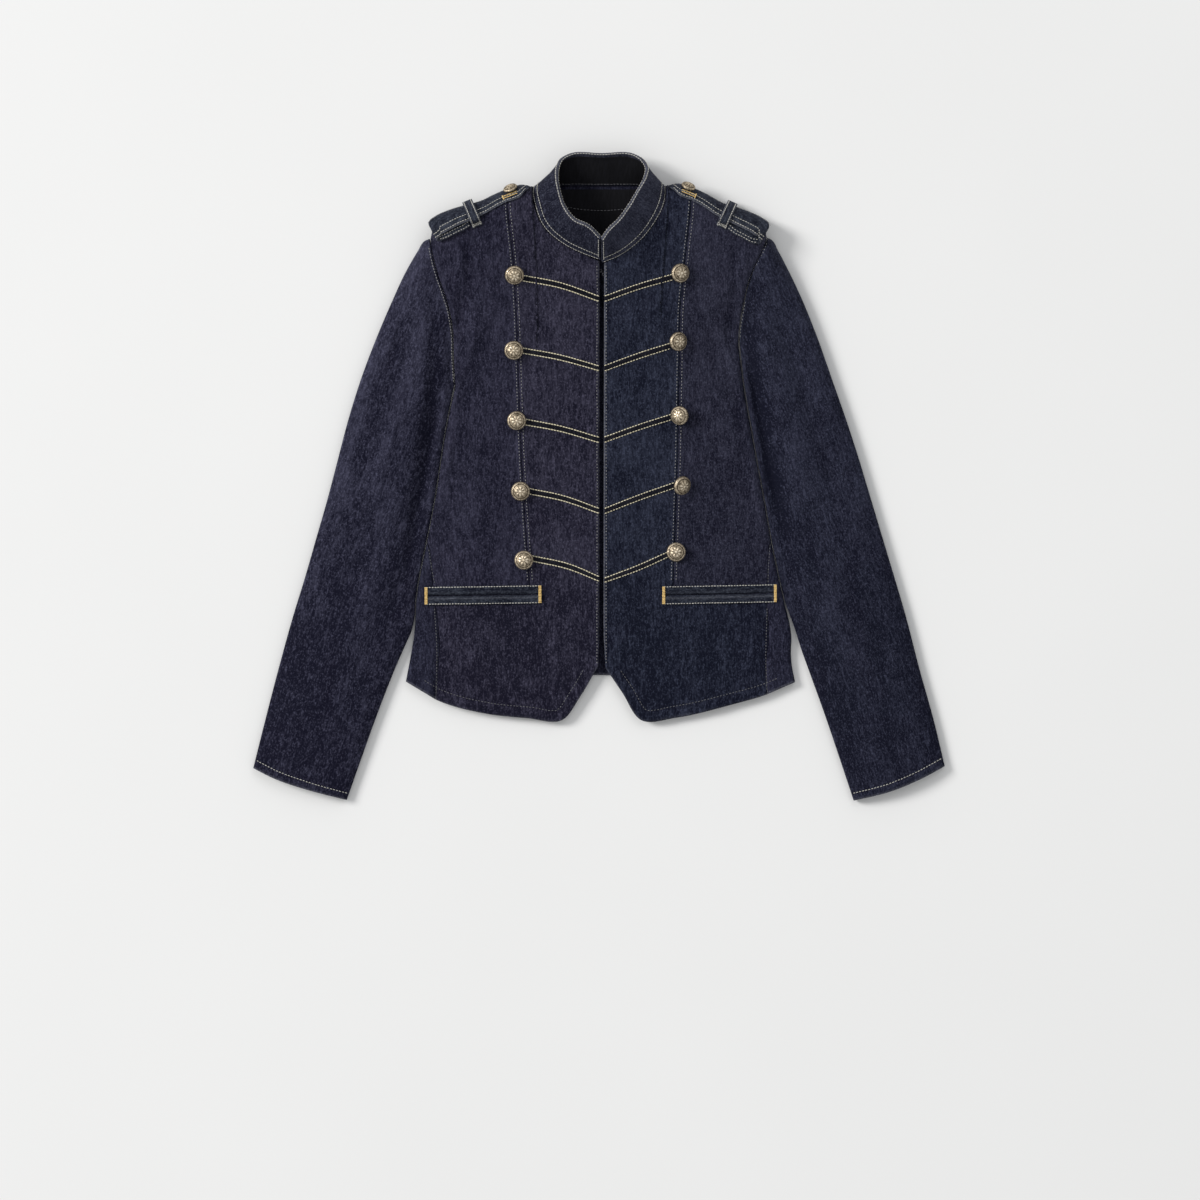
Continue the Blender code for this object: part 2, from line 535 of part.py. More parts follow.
# ---------------------------------------------------------------- sleeves
def sleeve_surface(key, u, v, upper):
    """Outer face of a sleeve: share u across from the outer fold, v down from the armhole."""
    s = SIDES[key]
    armhole, cuff, outer = Line(s['armhole']), Line(s['cuff']), Line(s['sleeve_out'])
    side = dense(s['side'])
    side = side[side[:, 1] < s['sleeve_in_free'][0][1] - 6]
    side[:, 0] += s['sign'] * 0.9 / UNIT
    inner = Line(tuple(map(tuple, side[::3])) + s['sleeve_in_free'])
    top = joined((armhole, 0, 1, 0, 1))
    p = patch(top, cuff.at, outer.at, inner.at, u, v)
    gap = (SEAM + 0.4) / UNIT * smoothstep(1 - v / 0.05)
    p[..., 0] += s['sign'] * gap
    crest, out_z, in_z = (read_table(SLEEVE_HEIGHTS, v, k) for k in (1, 2, 3))
    bow = 2 * np.sqrt(np.clip(u * (1 - u), 0, None))
    edge = out_z + (in_z - out_z) * u
    if not upper:
        return p, edge * np.clip(1 - bow / 0.45, 0, 1)**2
    own = crest * (1 - 0.22 * smoothstep((u - 0.5) / 0.5) * smoothstep((0.75 - v) / 0.3))
    for u0, v0, u1, v1, rise, half in SLEEVE_FOLDS:
        t = np.clip(((u - u0) * (u1 - u0) + 9 * (v - v0) * (v1 - v0)) / ((u1 - u0)**2 + 9 * (v1 - v0)**2), 0, 1)
        off = np.hypot(u - u0 - t * (u1 - u0), 3 * (v - v0 - t * (v1 - v0)))
        own = own + rise * np.exp(-(off / half)**2)
    own = edge + (own - edge) * bow**0.85
    seam = armhole.at(u)
    body = front_z(seam[..., 0], seam[..., 1])
    w = smoothstep(v / 0.13)
    return p, body * (1 - w) + own * w


def make_sleeve(key):
    n = SLEEVE_ROUND // 2
    a = np.linspace(0, math.pi, n + 1)
    u = (1 - np.cos(a)) / 2
    v = (np.linspace(0, 1, SLEEVE_ALONG) ** 1.15)[:, None]
    p_up, z_up = sleeve_surface(key, u[None, :], v, True)
    p_dn, z_dn = sleeve_surface(key, u[None, :], v, False)
    up = world(p_up[..., 0], p_up[..., 1], z_up)
    dn = world(p_dn[..., 0], p_dn[..., 1], z_dn)
    ring = np.concatenate([up, dn[:, -2:0:-1]], 1)
    cloth('sleeve_' + key, ring, WALL, loop=True, face_way=(0, 0, 0))


# ---------------------------------------------------------------- collar
COLLAR_COLS = 36
COLLAR_ROWS = 3


def collar_grid(cols, rows, low=0.0, high=1.0):
    """Points from the foot to the top of the collar, round the neck."""
    foot = dense([r[:3] for r in COLLAR])
    top = dense([r[3:] for r in COLLAR])
    share = np.linspace(0, len(foot) - 1, cols + 1)
    k = np.arange(len(foot))
    f = np.stack([np.interp(share, k, foot[:, i]) for i in range(3)], -1)
    t = np.stack([np.interp(share, k, top[:, i]) for i in range(3)], -1)
    h = np.linspace(low, high, rows + 1)[:, None, None]
    g = f + (t - f) * h
    return world(g[..., 0], g[..., 1], g[..., 2])


def moved_in(grid, depth):
    """A grid moved along its inward normals, mm."""
    across = np.gradient(grid, axis=1)
    up = np.gradient(grid, axis=0)
    n = np.cross(across, up)
    n /= np.linalg.norm(n, axis=-1, keepdims=True)
    centre = grid.reshape(-1, 3).mean(0)
    if np.sum(n * (centre - grid)) < 0:
        n = -n
    return grid + n * depth * MM


def make_collar():
    outer = collar_grid(COLLAR_COLS, COLLAR_ROWS)
    cloth('collar', outer, WALL_COLLAR, face_way=(0, 1, 0))
    inner = moved_in(collar_grid(COLLAR_COLS, COLLAR_ROWS, 0.14, 0.97), WALL_COLLAR + 0.5)
    cloth('collar_facing', inner, 0.9, colour='facing', face_way=(0, 1, 0))


# ---------------------------------------------------------------- shoulder straps
def shoulder_frame(key, share):
    """Plan point on the strap's line along the shoulder and the plan direction into the front."""
    line = Line(SIDES[key]['strap_line'])
    p = line.at(share)
    e = 0.02
    t = line.at(np.clip(share + e, 0, 1)) - line.at(np.clip(share - e, 0, 1))
    t /= np.linalg.norm(t, axis=-1, keepdims=True)
    n = np.stack([-t[..., 1], t[..., 0]], -1)
    n = np.where((n[..., 1] < 0)[..., None], -n, n)
    return p, n


def slope_z(x, y):
    """Height of the side front's slope; past the armhole the strap keeps the edge's height."""
    return front_z(np.clip(x, 441.5, 757.5), y)


def on_shoulder(key, share, depth, out):
    """A point over the shoulder slope: plan depth mm from its line, moved out by out mm."""
    share, depth, out = np.broadcast_arrays(*(np.asarray(q, float) for q in (share, depth, out)))
    p, n = shoulder_frame(key, share)
    q = p + n * (depth / UNIT)[..., None]
    z = slope_z(q[..., 0], q[..., 1])
    e = 0.35
    up = world(q[..., 0], q[..., 1], z)
    step = p + n * ((depth + e) / UNIT)[..., None]
    down = p + n * (np.maximum(depth - e, 0) / UNIT)[..., None]
    a = world(step[..., 0], step[..., 1], slope_z(step[..., 0], step[..., 1]))
    b = world(down[..., 0], down[..., 1], slope_z(down[..., 0], down[..., 1]))
    slope = a - b
    along = np.stack([n[..., 1], n[..., 0], 0 * n[..., 0]], -1)
    normal = np.cross(slope, along)
    normal /= np.linalg.norm(normal, axis=-1, keepdims=True)
    normal = np.where((normal[..., 2] < 0)[..., None], -normal, normal)
    return up + normal * out[..., None] * MM, normal


STRAP_ACROSS = 5


def strap_path(key):
    """Share, lift mm and plan drop mm, from the tip over the loop to its hidden end."""
    k = STRAP[key]
    end, keeper = k['shoulder_end'], k['keeper']
    drop = k['under']
    rows = [(t, LIFT + WALL_STRAP, 0.0) for t in np.linspace(k['tip'], keeper - 0.16, 6)]
    rows += [(keeper - 0.08, LIFT + WALL_STRAP + 0.8, 0), (keeper, LIFT + WALL_STRAP * 2 + 0.5, 0),
             (keeper + 0.12, 6.2, 0), (end - 0.08, 6.8, 0), (end - 0.02, 6.4, 0.1 * drop), (end, 4.4, 0.35 * drop),
             (end - 0.01, 2.9, 0.65 * drop), (end - 0.05, 2.2, 0.9 * drop), (end - 0.12, 2.0, drop),
             (end - 0.18, 1.8, drop), (keeper + 0.12, 1.4, drop), (keeper + 0.055, 0.9, 0.8 * drop)]
    return rows


def make_strap(key):
    k = STRAP[key]
    grid = []
    for share, out, drop in strap_path(key):
        front = float(read_table(k['depth'], share))
        back = 0.8
        if share < 0.10:
            mid = 4.0
            w = max((share - k['tip']) / (0.10 - k['tip']), 0.0)
            front = mid + (front - mid) * (0.25 + 0.75 * w)
            back = mid + (back - mid) * (0.25 + 0.75 * w)
        w = np.linspace(0, 1, STRAP_ACROSS + 1)
        depth = back + (front - back) * w ** 1.5 + drop
        p, _ = on_shoulder(key, share, depth, out)
        grid.append(p)
    cloth('epaulette_' + key, grid, WALL_STRAP, face_way=(0, 0, 0))


def make_keeper(key):
    k = STRAP[key]
    t0 = k['keeper']
    grid = []
    over = LIFT + WALL_STRAP * 2 + 3.0
    front = float(read_table(k['depth'], t0))
    path = [(0.2, 1.6), (0.2, over), (1.2, over + 0.4), (3.0, over), (7.0, over), (front - 2.0, over),
            (front + 1.8, over - 0.4), (front + 3.4, 2.6), (front + 4.2, 1.3), (front + 8.0, 1.3)]
    for depth, out in path:
        shares = np.array([t0 - 0.045, t0, t0 + 0.045])
        p, _ = on_shoulder(key, shares, depth, out)
        grid.append(p)
    cloth('keeper_' + key, grid, 0.8, face_way=(0, 0, 0))


# ---------------------------------------------------------------- pocket welts
def make_welts(key):
    s = SIDES[key]
    line = Line(s['welt'])
    half = s['welt_tall'] / 2
    slit = 0.45
    for name, lo, hi in (('welt_upper_', -half, -slit), ('welt_lower_', slit, half)):
        rows = []
        for off in np.linspace(lo, hi, 3):
            p = line.at(np.linspace(0, 1, 15))
            x, y = p[:, 0], p[:, 1] + off
            rows.append(world(x, y, front_z(x, y) + LIFT))
        cloth(name + key, rows, WALL_WELT, face_way=(0, 0, 1), inward=False)


# ---------------------------------------------------------------- buttons
def button_mesh(name, size, dome, shank):
    """Profile of a domed shank button, turned round Z; it stands on z = 0."""
    r = size / 2
    profile = ((0.0, shank + dome), (r * 0.45, shank + dome * 0.90), (r * 0.80, shank + dome * 0.56),
               (r * 0.97, shank + dome * 0.26), (r, shank + dome * 0.10), (r * 0.93, shank), (2.2, shank - 0.2),
               (2.2, 0.0), (0.0, 0.0))
    mesh = bpy.data.meshes.new(name)
    mesh.from_pydata([(x * MM, 0, z * MM) for x, z in profile], [(i, i + 1) for i in range(len(profile) - 1)], [])
    return mesh


def hang_height(tilt, size, shank):
    """How far a tilted button's middle moves up so that its rim just clears the cloth, mm."""
    lean = math.radians(math.hypot(*tilt))
    return max(size / 2 * math.sin(lean) - shank * math.cos(lean) + 0.2, 2.2 * math.sin(lean))


def make_button(name, place, normal, size, dome, shank, tilt=(0, 0)):
    ob = add_object(name, button_mesh(name, size, dome, shank), 'brass', rough=0.35, metal=1.0)
    turn = ob.modifiers.new('turn', 'SCREW')
    turn.axis = 'Z'
    turn.steps = turn.render_steps = 16
    turn.use_merge_vertices = True
    turn.merge_threshold = 0.00005
    up = Vector((0, 0, 1)).rotation_difference(Vector(normal)).to_matrix().to_4x4()
    lean = Matrix.Rotation(math.radians(tilt[0]), 4, 'Y') @ Matrix.Rotation(math.radians(tilt[1]), 4, 'X')
    ob.matrix_world = Matrix.Translation(Vector(place)) @ up @ lean
    return ob


def make_buttons(key):
    for i, (x, y, tilt_y, tilt_x) in enumerate(SIDES[key]['buttons'], 1):
        z = float(front_z(x, y)) + LIFT + hang_height((tilt_y, tilt_x), BUTTON_D, SHANK_H)
        make_button('button_%s%d' % (key, i), world(x, y, z), (0, 0, 1), BUTTON_D, BUTTON_H, SHANK_H, (tilt_y, tilt_x))
    k = STRAP[key]
    p, n = on_shoulder(key, np.array([k['button']]), np.array([4.2]), np.array([LIFT + WALL_STRAP + 0.5]))
    make_button('button_strap_' + key, p[0], n[0], STRAP_BUTTON_D, 4.2, 1.6)


# ---------------------------------------------------------------- hook and eye
def wire(name, points, thick):
    curve = bpy.data.curves.new(name, 'CURVE')
    curve.dimensions = '3D'
    curve.bevel_depth = thick / 2 * MM
    curve.bevel_resolution = 2
    curve.use_fill_caps = True
    spline = curve.splines.new('POLY')
    spline.points.add(len(points) - 1)
    for q, p in zip(spline.points, points):
        q.co = (*p, 1)
    curve.materials.append(material(name + '_finish', 'steel', 0.3, 1.0))
    ob = bpy.data.objects.new(name, curve)
    bpy.data.collections[JACKET].objects.link(ob)
    return ob


def make_hook_and_eye():
    z = float(front_z(602, 273)) - WALL - 1.4
    a = np.linspace(0.15 * math.pi, 1.85 * math.pi, 11)
    wire('eye', [Vector(world(603.6 + 1.3 * math.cos(t), 275.2 + 1.3 * math.sin(t), z)) for t in a], 0.7)
    b = np.linspace(0, math.pi, 8)
    loop = [(600.8 + 1.3 * math.sin(t), 271.6 - 1.2 * math.cos(t)) for t in b]
    path = [(597.8, 270.4)] + loop + [(599.4, 272.8)]
    wire('hook', [Vector(world(x, y, z - 0.2)) for x, y in path], 0.7)


# ---------------------------------------------------------------- build
def fix_facing():
    """Turn any sheet whose wall would grow outward instead of inward."""
    for ob in bpy.data.collections[JACKET].objects:
        if ob.name.startswith(('sleeve_', 'epaulette_', 'keeper_')):
            me = ob.data
            probe = 0.0
            if ob.name.startswith('sleeve_'):
                z_mid = sum(v.co.z for v in me.vertices) / len(me.vertices)
                probe = sum(p.normal.z * (p.center.z - z_mid) * p.area for p in me.polygons)
            else:
                first = me.polygons[len(me.polygons) // 4]
                probe = first.normal.z
            if probe < 0:
                me.flip_normals()


def main():
    clear_scene()
    make_back()
    make_back_facing()
    for key in 'LR':
        make_fronts(key)
        make_sleeve(key)
        make_strap(key)
        make_keeper(key)
        make_welts(key)
        make_buttons(key)
    make_collar()
    make_hook_and_eye()
    fix_facing()


main()
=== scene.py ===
"""Looks of a cropped denim jacket with a stand collar, laid flat on its back, front up.

Plan tables are in units of 1.07 mm (x right, y down); heights are in mm. The shapes
follow the same lines and heights as the solids, with creases, seams and thread added.
"""

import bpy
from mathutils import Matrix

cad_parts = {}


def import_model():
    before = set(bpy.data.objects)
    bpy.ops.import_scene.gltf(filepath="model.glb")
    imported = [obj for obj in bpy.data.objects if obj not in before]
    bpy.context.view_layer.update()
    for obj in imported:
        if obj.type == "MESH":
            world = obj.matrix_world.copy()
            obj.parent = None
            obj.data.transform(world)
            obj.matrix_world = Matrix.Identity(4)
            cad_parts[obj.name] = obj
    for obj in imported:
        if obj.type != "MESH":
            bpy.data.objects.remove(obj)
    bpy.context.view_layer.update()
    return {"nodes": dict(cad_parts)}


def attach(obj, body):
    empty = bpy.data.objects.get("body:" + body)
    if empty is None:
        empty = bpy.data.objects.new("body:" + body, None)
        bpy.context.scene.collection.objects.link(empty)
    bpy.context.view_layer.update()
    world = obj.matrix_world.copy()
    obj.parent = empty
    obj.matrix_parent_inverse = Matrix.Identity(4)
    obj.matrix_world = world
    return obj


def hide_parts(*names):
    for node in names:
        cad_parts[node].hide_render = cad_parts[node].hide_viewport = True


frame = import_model()
import math
import bpy
import numpy as np
from mathutils import Matrix, Vector

# ---------------------------------------------------------------- sizes and tables
MM = 0.001
UNIT = 1.07                  # mm: one unit of the plan tables (x right, y down)
PLAN_X, PLAN_Y = 599.0, 476.8   # plan point over the origin
WALL = 1.6                   # mm, panels and sleeves
WALL_COLLAR = 1.2            # mm, each layer of the collar
WALL_STRAP = 1.8             # mm, doubled strap cloth
WALL_WELT = 1.0              # mm
SEAM = 0.2                   # mm that each piece keeps back from its seam
NECK_GAP = 0.8               # mm from the collar's foot to the fronts' neckline
LIFT = 0.5                   # mm under what lies on a panel
SHOULDER_ROLL = 19.0         # mm, plan depth of the steep shoulder slope
SHOULDER_FOOT = 2.1          # mm, where the fronts stand on the back
BUTTON_D = 20.3              # mm
BUTTON_H = 6.2               # mm, dome with its rim
SHANK_H = 3.2                # mm
STRAP_BUTTON_D = 15.5        # mm

# height of the front's outer face by plan row, mm: in the middle, at the sides
HEIGHTS = (  # y, middle, side
    (150, 30.0, 9.0), (190, 29.5, 9.0), (215, 28.5, 9.0), (240, 25.5, 9.0), (262, 22.5, 9.0),
    (300, 17.0, 9.0), (350, 13.6, 9.0), (420, 11.6, 8.8), (520, 11.0, 8.6),
    (600, 10.6, 8.4), (660, 9.8, 8.0), (730, 8.6, 7.6))

# largest folds of the fronts: a ridge (+) or groove (-) along a line
FOLDS = (  # x0, y0, x1, y1, rise mm, half width mm
    (462, 262, 457, 292, 1.6, 9), (464, 300, 459, 338, -2.2, 8), (478, 318, 463, 384, 2.0, 9),
    (740, 262, 746, 300, 1.5, 9), (733, 300, 735, 350, -1.8, 9), (722, 322, 741, 388, 1.6, 10),
    (560, 300, 556, 420, 0.8, 24), (640, 320, 644, 470, 0.7, 24),
    (478, 610, 470, 700, 0.9, 16), (705, 612, 716, 700, 0.9, 16))

SIDES = {
    'L': dict(
        sign=-1,
        front_edge=((599.3, 262), (599.3, 420), (599.2, 594.5)),
        front_edge_low=((599.2, 594.5), (599.0, 640), (598.2, 666)),
        neck=((599.3, 262), (584, 255.6), (563, 245.2), (543, 227.2), (533.6, 205), (531, 191), (532.5, 186.6)),
        shoulder=((532.5, 186.6), (519, 187), (507, 191.2), (493, 197), (480, 203.5), (466, 209.5),
                  (452, 215), (442, 219.5), (434, 227), (430.5, 239)),
        strap_line=((532.5, 186.6), (519, 187), (507, 191.2), (493, 197), (480, 203.5), (466, 209.5), (452, 215),
                    (441, 219.8), (427.5, 226.5)),
        princess_at=0.215,        # share of the shoulder from the neck to the seam
        princess=((508, 206), (514, 265), (516, 296), (518.5, 360), (521, 436), (525, 513), (530, 580),
                  (531, 595)),
        princess_low=((531, 595), (530, 650), (527, 718)),
        pocket=((531, 595), (480, 595.8), (434.8, 596)),
        armhole=((430.5, 239), (433.5, 257), (438, 274), (444, 292), (449.7, 310), (453, 329), (454, 361), (455.6, 385.6)),
        side=((455.6, 385.6), (447, 425), (442, 456), (437.5, 487), (431, 523), (426.5, 545), (421, 572),
              (416.5, 600), (415.5, 620), (413.8, 638), (411.5, 652), (406, 681.5)),
        hem=((598.2, 666), (580.5, 696), (562.3, 719.8), (527, 717.8), (484, 713), (436, 699.5), (406, 681.5)),
        wrap=((385, 0), (541, 0), (549, 4.5), (569, 11), (608, 20.5), (646, 26.5), (700, 30)),
        sleeve_out=((430.5, 239), (426, 240.5), (417.5, 252), (407, 270), (393, 300), (376, 340), (361, 380), (348.5, 420),
                    (338, 460), (327.5, 500), (316, 540), (304.5, 580), (294, 614), (279, 668), (265, 722), (253.5, 768)),
        sleeve_in_free=((415.2, 612), (412, 630), (406, 644), (398, 662), (379, 710), (361, 760), (347, 799.8)),
        cuff=((253.5, 768), (275, 778.5), (311, 790.5), (347, 799.8)),
        welt=((425.4, 595.9), (483, 595.2), (541, 594.2)),
        welt_tall=18.0,
        buttons=((514.8, 275.4, 0, 14), (514, 350.7, 0, 5), (516.6, 420.8, 2, 4), (520.7, 491, 0, 6), (524, 560, 0, 3)),
    ),
    'R': dict(
        sign=1,
        front_edge=((604.2, 264), (603.9, 420), (603.6, 594.5)),
        front_edge_low=((603.6, 594.5), (604.0, 640), (605.6, 668)),
        neck=((604.2, 265.2), (619, 257.8), (637, 245.4), (655, 224.4), (664.6, 206.5), (667.4, 191), (666.5, 186)),
        shoulder=((666.5, 186), (681, 185.8), (695, 190.8), (712, 199), (723, 206), (734, 211), (744, 215.5),
                  (757, 223), (764, 229), (766.8, 238)),
        strap_line=((666.5, 186), (681, 185.8), (695, 190.8), (712, 199), (723, 206), (734, 211), (744, 215.5),
                    (757, 221.5), (770.5, 229)),
        princess_at=0.22,
        princess=((691, 206), (685.5, 258), (680.5, 309), (679.5, 360), (678, 449), (676, 513), (673.5, 581),
                  (673, 595)),
        princess_low=((673, 595), (674, 650), (677, 717.5)),
        pocket=((673, 595), (720, 594.6), (766.8, 594.2)),
        armhole=((766.8, 238), (761, 253), (755, 265), (747.7, 284.5), (742.4, 308), (738.6, 334), (738.4, 345.6)),
        side=((738.4, 345.6), (744.5, 393), (751, 430), (757, 464), (763, 496), (771.5, 544), (779, 580), (785, 606),
              (789.5, 624), (791.3, 638), (790.8, 650), (791.6, 664), (795, 682)),
        hem=((605.6, 668), (622, 692), (641.3, 719.8), (677, 716.8), (731, 704.5), (768, 694), (795, 682)),
        wrap=((345, 0), (541, 0), (549, 4.5), (577, 11), (608, 18.5), (659, 25), (700, 28)),
        sleeve_out=((766.8, 238), (770.5, 239.5), (778, 251), (788, 270), (802, 300), (818, 340), (832, 380), (846, 420),
                    (859, 460), (871, 500), (883, 540), (895, 580), (905, 614), (919, 668), (934, 722), (944.5, 766)),
        sleeve_in_free=((788.5, 612), (795, 630), (801, 649), (810, 674), (823, 710), (840, 760), (853.5, 800.5)),
        cuff=((944.5, 766), (920, 779), (891, 791), (853.5, 800.5)),
        welt=((662.8, 595.4), (719, 594.4), (776, 593.3)),
        welt_tall=18.2,
        buttons=((678.6, 274, 22, 4), (676.3, 342, 27, 4), (681, 415.7, -24, 6), (680, 485, 32, 14), (676, 552, 0, 2)),
    ),
}

# height of a sleeve by share of its length, mm: crest, outer fold, inner fold
SLEEVE_HEIGHTS = (  # along, crest, outer, inner
    (0.00, 22.0, 2.5, 4.5), (0.08, 20.5, 6.0, 4.6), (0.20, 18.0, 7.0, 4.8), (0.45, 16.0, 6.5, 5.0),
    (0.75, 14.0, 6.0, 5.4), (1.00, 12.4, 5.6, 5.4))
SLEEVE_FOLDS = (  # share across and along at both ends, rise mm, half width (share across)
    (0.30, 0.08, 0.26, 0.42, -2.6, 0.07), (0.52, 0.06, 0.60, 0.40, 1.4, 0.10), (0.84, 0.02, 0.82, 0.34, -2.4, 0.08),
    (0.40, 0.48, 0.34, 0.62, -1.2, 0.12), (0.62, 0.55, 0.45, 0.72, 1.0, 0.12))

# stand collar, one row a section from the centre front round the neck:
# foot x, y, z mm and top x, y, z mm
COLLAR = (
    (599.9, 260.8, 20.8, 599.9, 241.0, 49.0), (584.0, 255.0, 21.6, 589.0, 229.8, 52.0),
    (563.0, 244.6, 23.2, 573.5, 222.0, 51.0), (543.4, 226.8, 25.4, 564.0, 209.0, 48.0),
    (535.0, 205.0, 25.4, 559.0, 194.0, 44.0), (533.2, 191.5, 15.5, 556.4, 178.0, 38.5),
    (536.0, 185.8, 5.0, 557.0, 168.5, 32.0), (546.0, 185.6, 1.7, 560.6, 160.2, 26.0),
    (570.0, 186.2, 0.8, 569.5, 154.8, 21.0), (600.0, 186.5, 0.6, 601.5, 154.2, 19.5),
    (630.0, 186.2, 0.8, 633.5, 154.8, 21.0), (654.0, 185.4, 1.7, 642.6, 160.2, 26.0),
    (663.3, 185.4, 5.0, 647.5, 168.5, 32.0), (665.2, 191.5, 15.5, 646.0, 178.0, 38.5),
    (663.2, 206.5, 25.4, 637.5, 194.0, 44.0), (654.4, 224.0, 25.4, 628.5, 209.6, 48.0),
    (636.6, 244.8, 23.2, 618.0, 224.0, 51.0), (618.6, 257.2, 21.6, 609.5, 232.2, 52.0),
    (602.3, 263.6, 20.8, 602.0, 243.0, 49.0))

# shoulder straps: shares of the strap's line from the neck, then the plan depth of the
# strap's front edge below that line, mm
STRAP_DEPTH = (  # share, depth
    (0.0, 3.0), (0.10, 11.5), (0.3, 13.0), (0.6, 15.0), (0.8, 16.0), (0.98, 17.5))
STRAP = dict(
    L=dict(tip=0.02, shoulder_end=0.985, keeper=0.591, button=0.197, depth=STRAP_DEPTH, under=5.5),
    R=dict(tip=0.02, shoulder_end=0.985, keeper=0.602, button=0.192, depth=STRAP_DEPTH, under=8.0))



# ---------------------------------------------------------------- lines and surfaces
def read_table(rows, at, column=1):
    """Smooth value of a table's column at the given key, level beyond its ends."""
    keys = np.array([r[0] for r in rows], float)
    vals = np.array([r[column] for r in rows], float)
    slope = np.gradient(vals, keys)
    at = np.clip(np.asarray(at, float), keys[0], keys[-1])
    i = np.clip(np.searchsorted(keys, at, side='right') - 1, 0, len(keys) - 2)
    h = keys[i + 1] - keys[i]
    t = (at - keys[i]) / h
    return ((2 * t**3 - 3 * t**2 + 1) * vals[i] + (t**3 - 2 * t**2 + t) * h * slope[i]
            + (3 * t**2 - 2 * t**3) * vals[i + 1] + (t**3 - t**2) * h * slope[i + 1])


def dense(points, steps=10):
    """The smooth line through a row of points."""
    p = np.array(points, float)
    if len(p) == 2:
        return p[0] + (p[1] - p[0]) * np.linspace(0, 1, steps + 1)[:, None]
    knots = np.concatenate([[0], np.cumsum(np.linalg.norm(np.diff(p, axis=0), axis=1))])
    fine = np.concatenate([np.linspace(a, b, steps, endpoint=False) for a, b in zip(knots[:-1], knots[1:])] + [knots[-1:]])
    return np.stack([read_table(np.stack([knots, p[:, k]], 1), fine) for k in range(p.shape[1])], 1)


class Line:
    """A smooth plan line, read by the share of its length."""

    def __init__(self, points):
        self.p = dense(points)
        seg = np.linalg.norm(np.diff(self.p, axis=0), axis=1)
        self.s = np.concatenate([[0], np.cumsum(seg)])
        self.length = self.s[-1]

    def at(self, share):
        q = np.asarray(share, float) * self.length
        return np.stack([np.interp(q, self.s, self.p[:, k]) for k in range(self.p.shape[1])], -1)

    def share_of(self, x, y):
        return self.s[np.argmin((self.p[:, 0] - x)**2 + (self.p[:, 1] - y)**2)] / self.length


def joined(*parts):
    """One boundary from several lines, each filling its own share of 0 to 1."""
    def at(share):
        share = np.asarray(share, float)
        out = np.zeros(share.shape + (2,))
        for line, lo, hi, a, b in parts:
            m = (share >= lo - 1e-9) & (share <= hi + 1e-9)
            out[m] = line.at(a + (b - a) * (share[m] - lo) / (hi - lo))
        return out
    return at


def patch(top, bottom, left, right, c, r):
    """Plan points filled in between four boundaries, at shares c across and r down."""
    c, r = np.broadcast_arrays(np.asarray(c, float), np.asarray(r, float))
    C, R = c[..., None], r[..., None]
    zero, one = np.zeros(1), np.ones(1)
    p00, p10, p01, p11 = top(zero)[0], top(one)[0], bottom(zero)[0], bottom(one)[0]
    return ((1 - R) * top(c) + R * bottom(c) + (1 - C) * left(r) + C * right(r)
            - ((1 - C) * (1 - R) * p00 + C * (1 - R) * p10 + (1 - C) * R * p01 + C * R * p11))


def distance(x, y, line):
    """Plan distance from points to a dense line, in units."""
    best = np.full(np.shape(x), 1e9)
    for (ax, ay), (bx, by) in zip(line[:-1], line[1:]):
        dx, dy = bx - ax, by - ay
        t = np.clip(((x - ax) * dx + (y - ay) * dy) / (dx * dx + dy * dy + 1e-12), 0, 1)
        best = np.minimum(best, np.hypot(x - ax - t * dx, y - ay - t * dy))
    return best


def smoothstep(t):
    t = np.clip(t, 0, 1)
    return t * t * (3 - 2 * t)


SHOULDER_LINES = [dense(SIDES[k]['shoulder']) for k in 'LR']
EDGE_X = {}
for key, side in SIDES.items():
    line = dense(side['side'])
    order = np.argsort(line[:, 1])
    up_x = line[order[0], 0] + side['sign'] * np.array([70, 34, 14])
    up_y = line[order[0], 1] - np.array([90, 52, 24])
    EDGE_X[key] = (np.concatenate([up_y, line[order, 1]]), np.concatenate([up_x, line[order, 0]]))

def side_height(y):
    return read_table(HEIGHTS, y, 2)


def front_z(x, y):
    """Height in mm of the front's outer face over a plan point."""
    x, y = np.broadcast_arrays(np.asarray(x, float), np.asarray(y, float))
    middle, low = read_table(HEIGHTS, y, 1), side_height(y)
    for x0, y0, x1, y1, rise, half in FOLDS:
        dx, dy = x1 - x0, y1 - y0
        t = ((x - x0) * dx + (y - y0) * dy) / (dx * dx + dy * dy)
        off = np.hypot(x - x0 - np.clip(t, 0, 1) * dx, y - y0 - np.clip(t, 0, 1) * dy) * UNIT
        middle = middle + rise * np.exp(-(off / half)**2)
    z = middle
    for key in 'LR':
        ys, xs = EDGE_X[key]
        edge = np.interp(y, ys, xs)
        d = SIDES[key]['sign'] * (edge - x) * UNIT
        r = low / 2
        flat = low + (middle - low) * smoothstep((d - r) / 55.0)
        arc = r + np.sqrt(np.clip(r * r - (r - np.clip(d, 0, None))**2, 0, None))
        z = np.where(d < 80, np.minimum(z, np.where(d < r, arc, flat)), z)
    roll = np.minimum(*[distance(x, y, s) for s in SHOULDER_LINES]) * UNIT / SHOULDER_ROLL
    roll = np.sqrt(1 - (1 - np.clip(roll, 0, 1))**2)
    return SHOULDER_FOOT + (z - SHOULDER_FOOT) * roll


def world(x, y, z):
    """Plan units and a height in mm, as metres."""
    return np.stack([(np.asarray(x, float) - PLAN_X) * UNIT * MM, (PLAN_Y - np.asarray(y, float)) * UNIT * MM,
                     np.asarray(z, float) * MM + 0 * np.asarray(x, float)], -1)


def side_seam(key, y):
    """Plan depth in mm from the side fold to the side seam (0 where it runs on the fold)."""
    ys, depths = zip(*SIDES[key]['wrap'])
    return np.interp(y, ys, depths) * UNIT


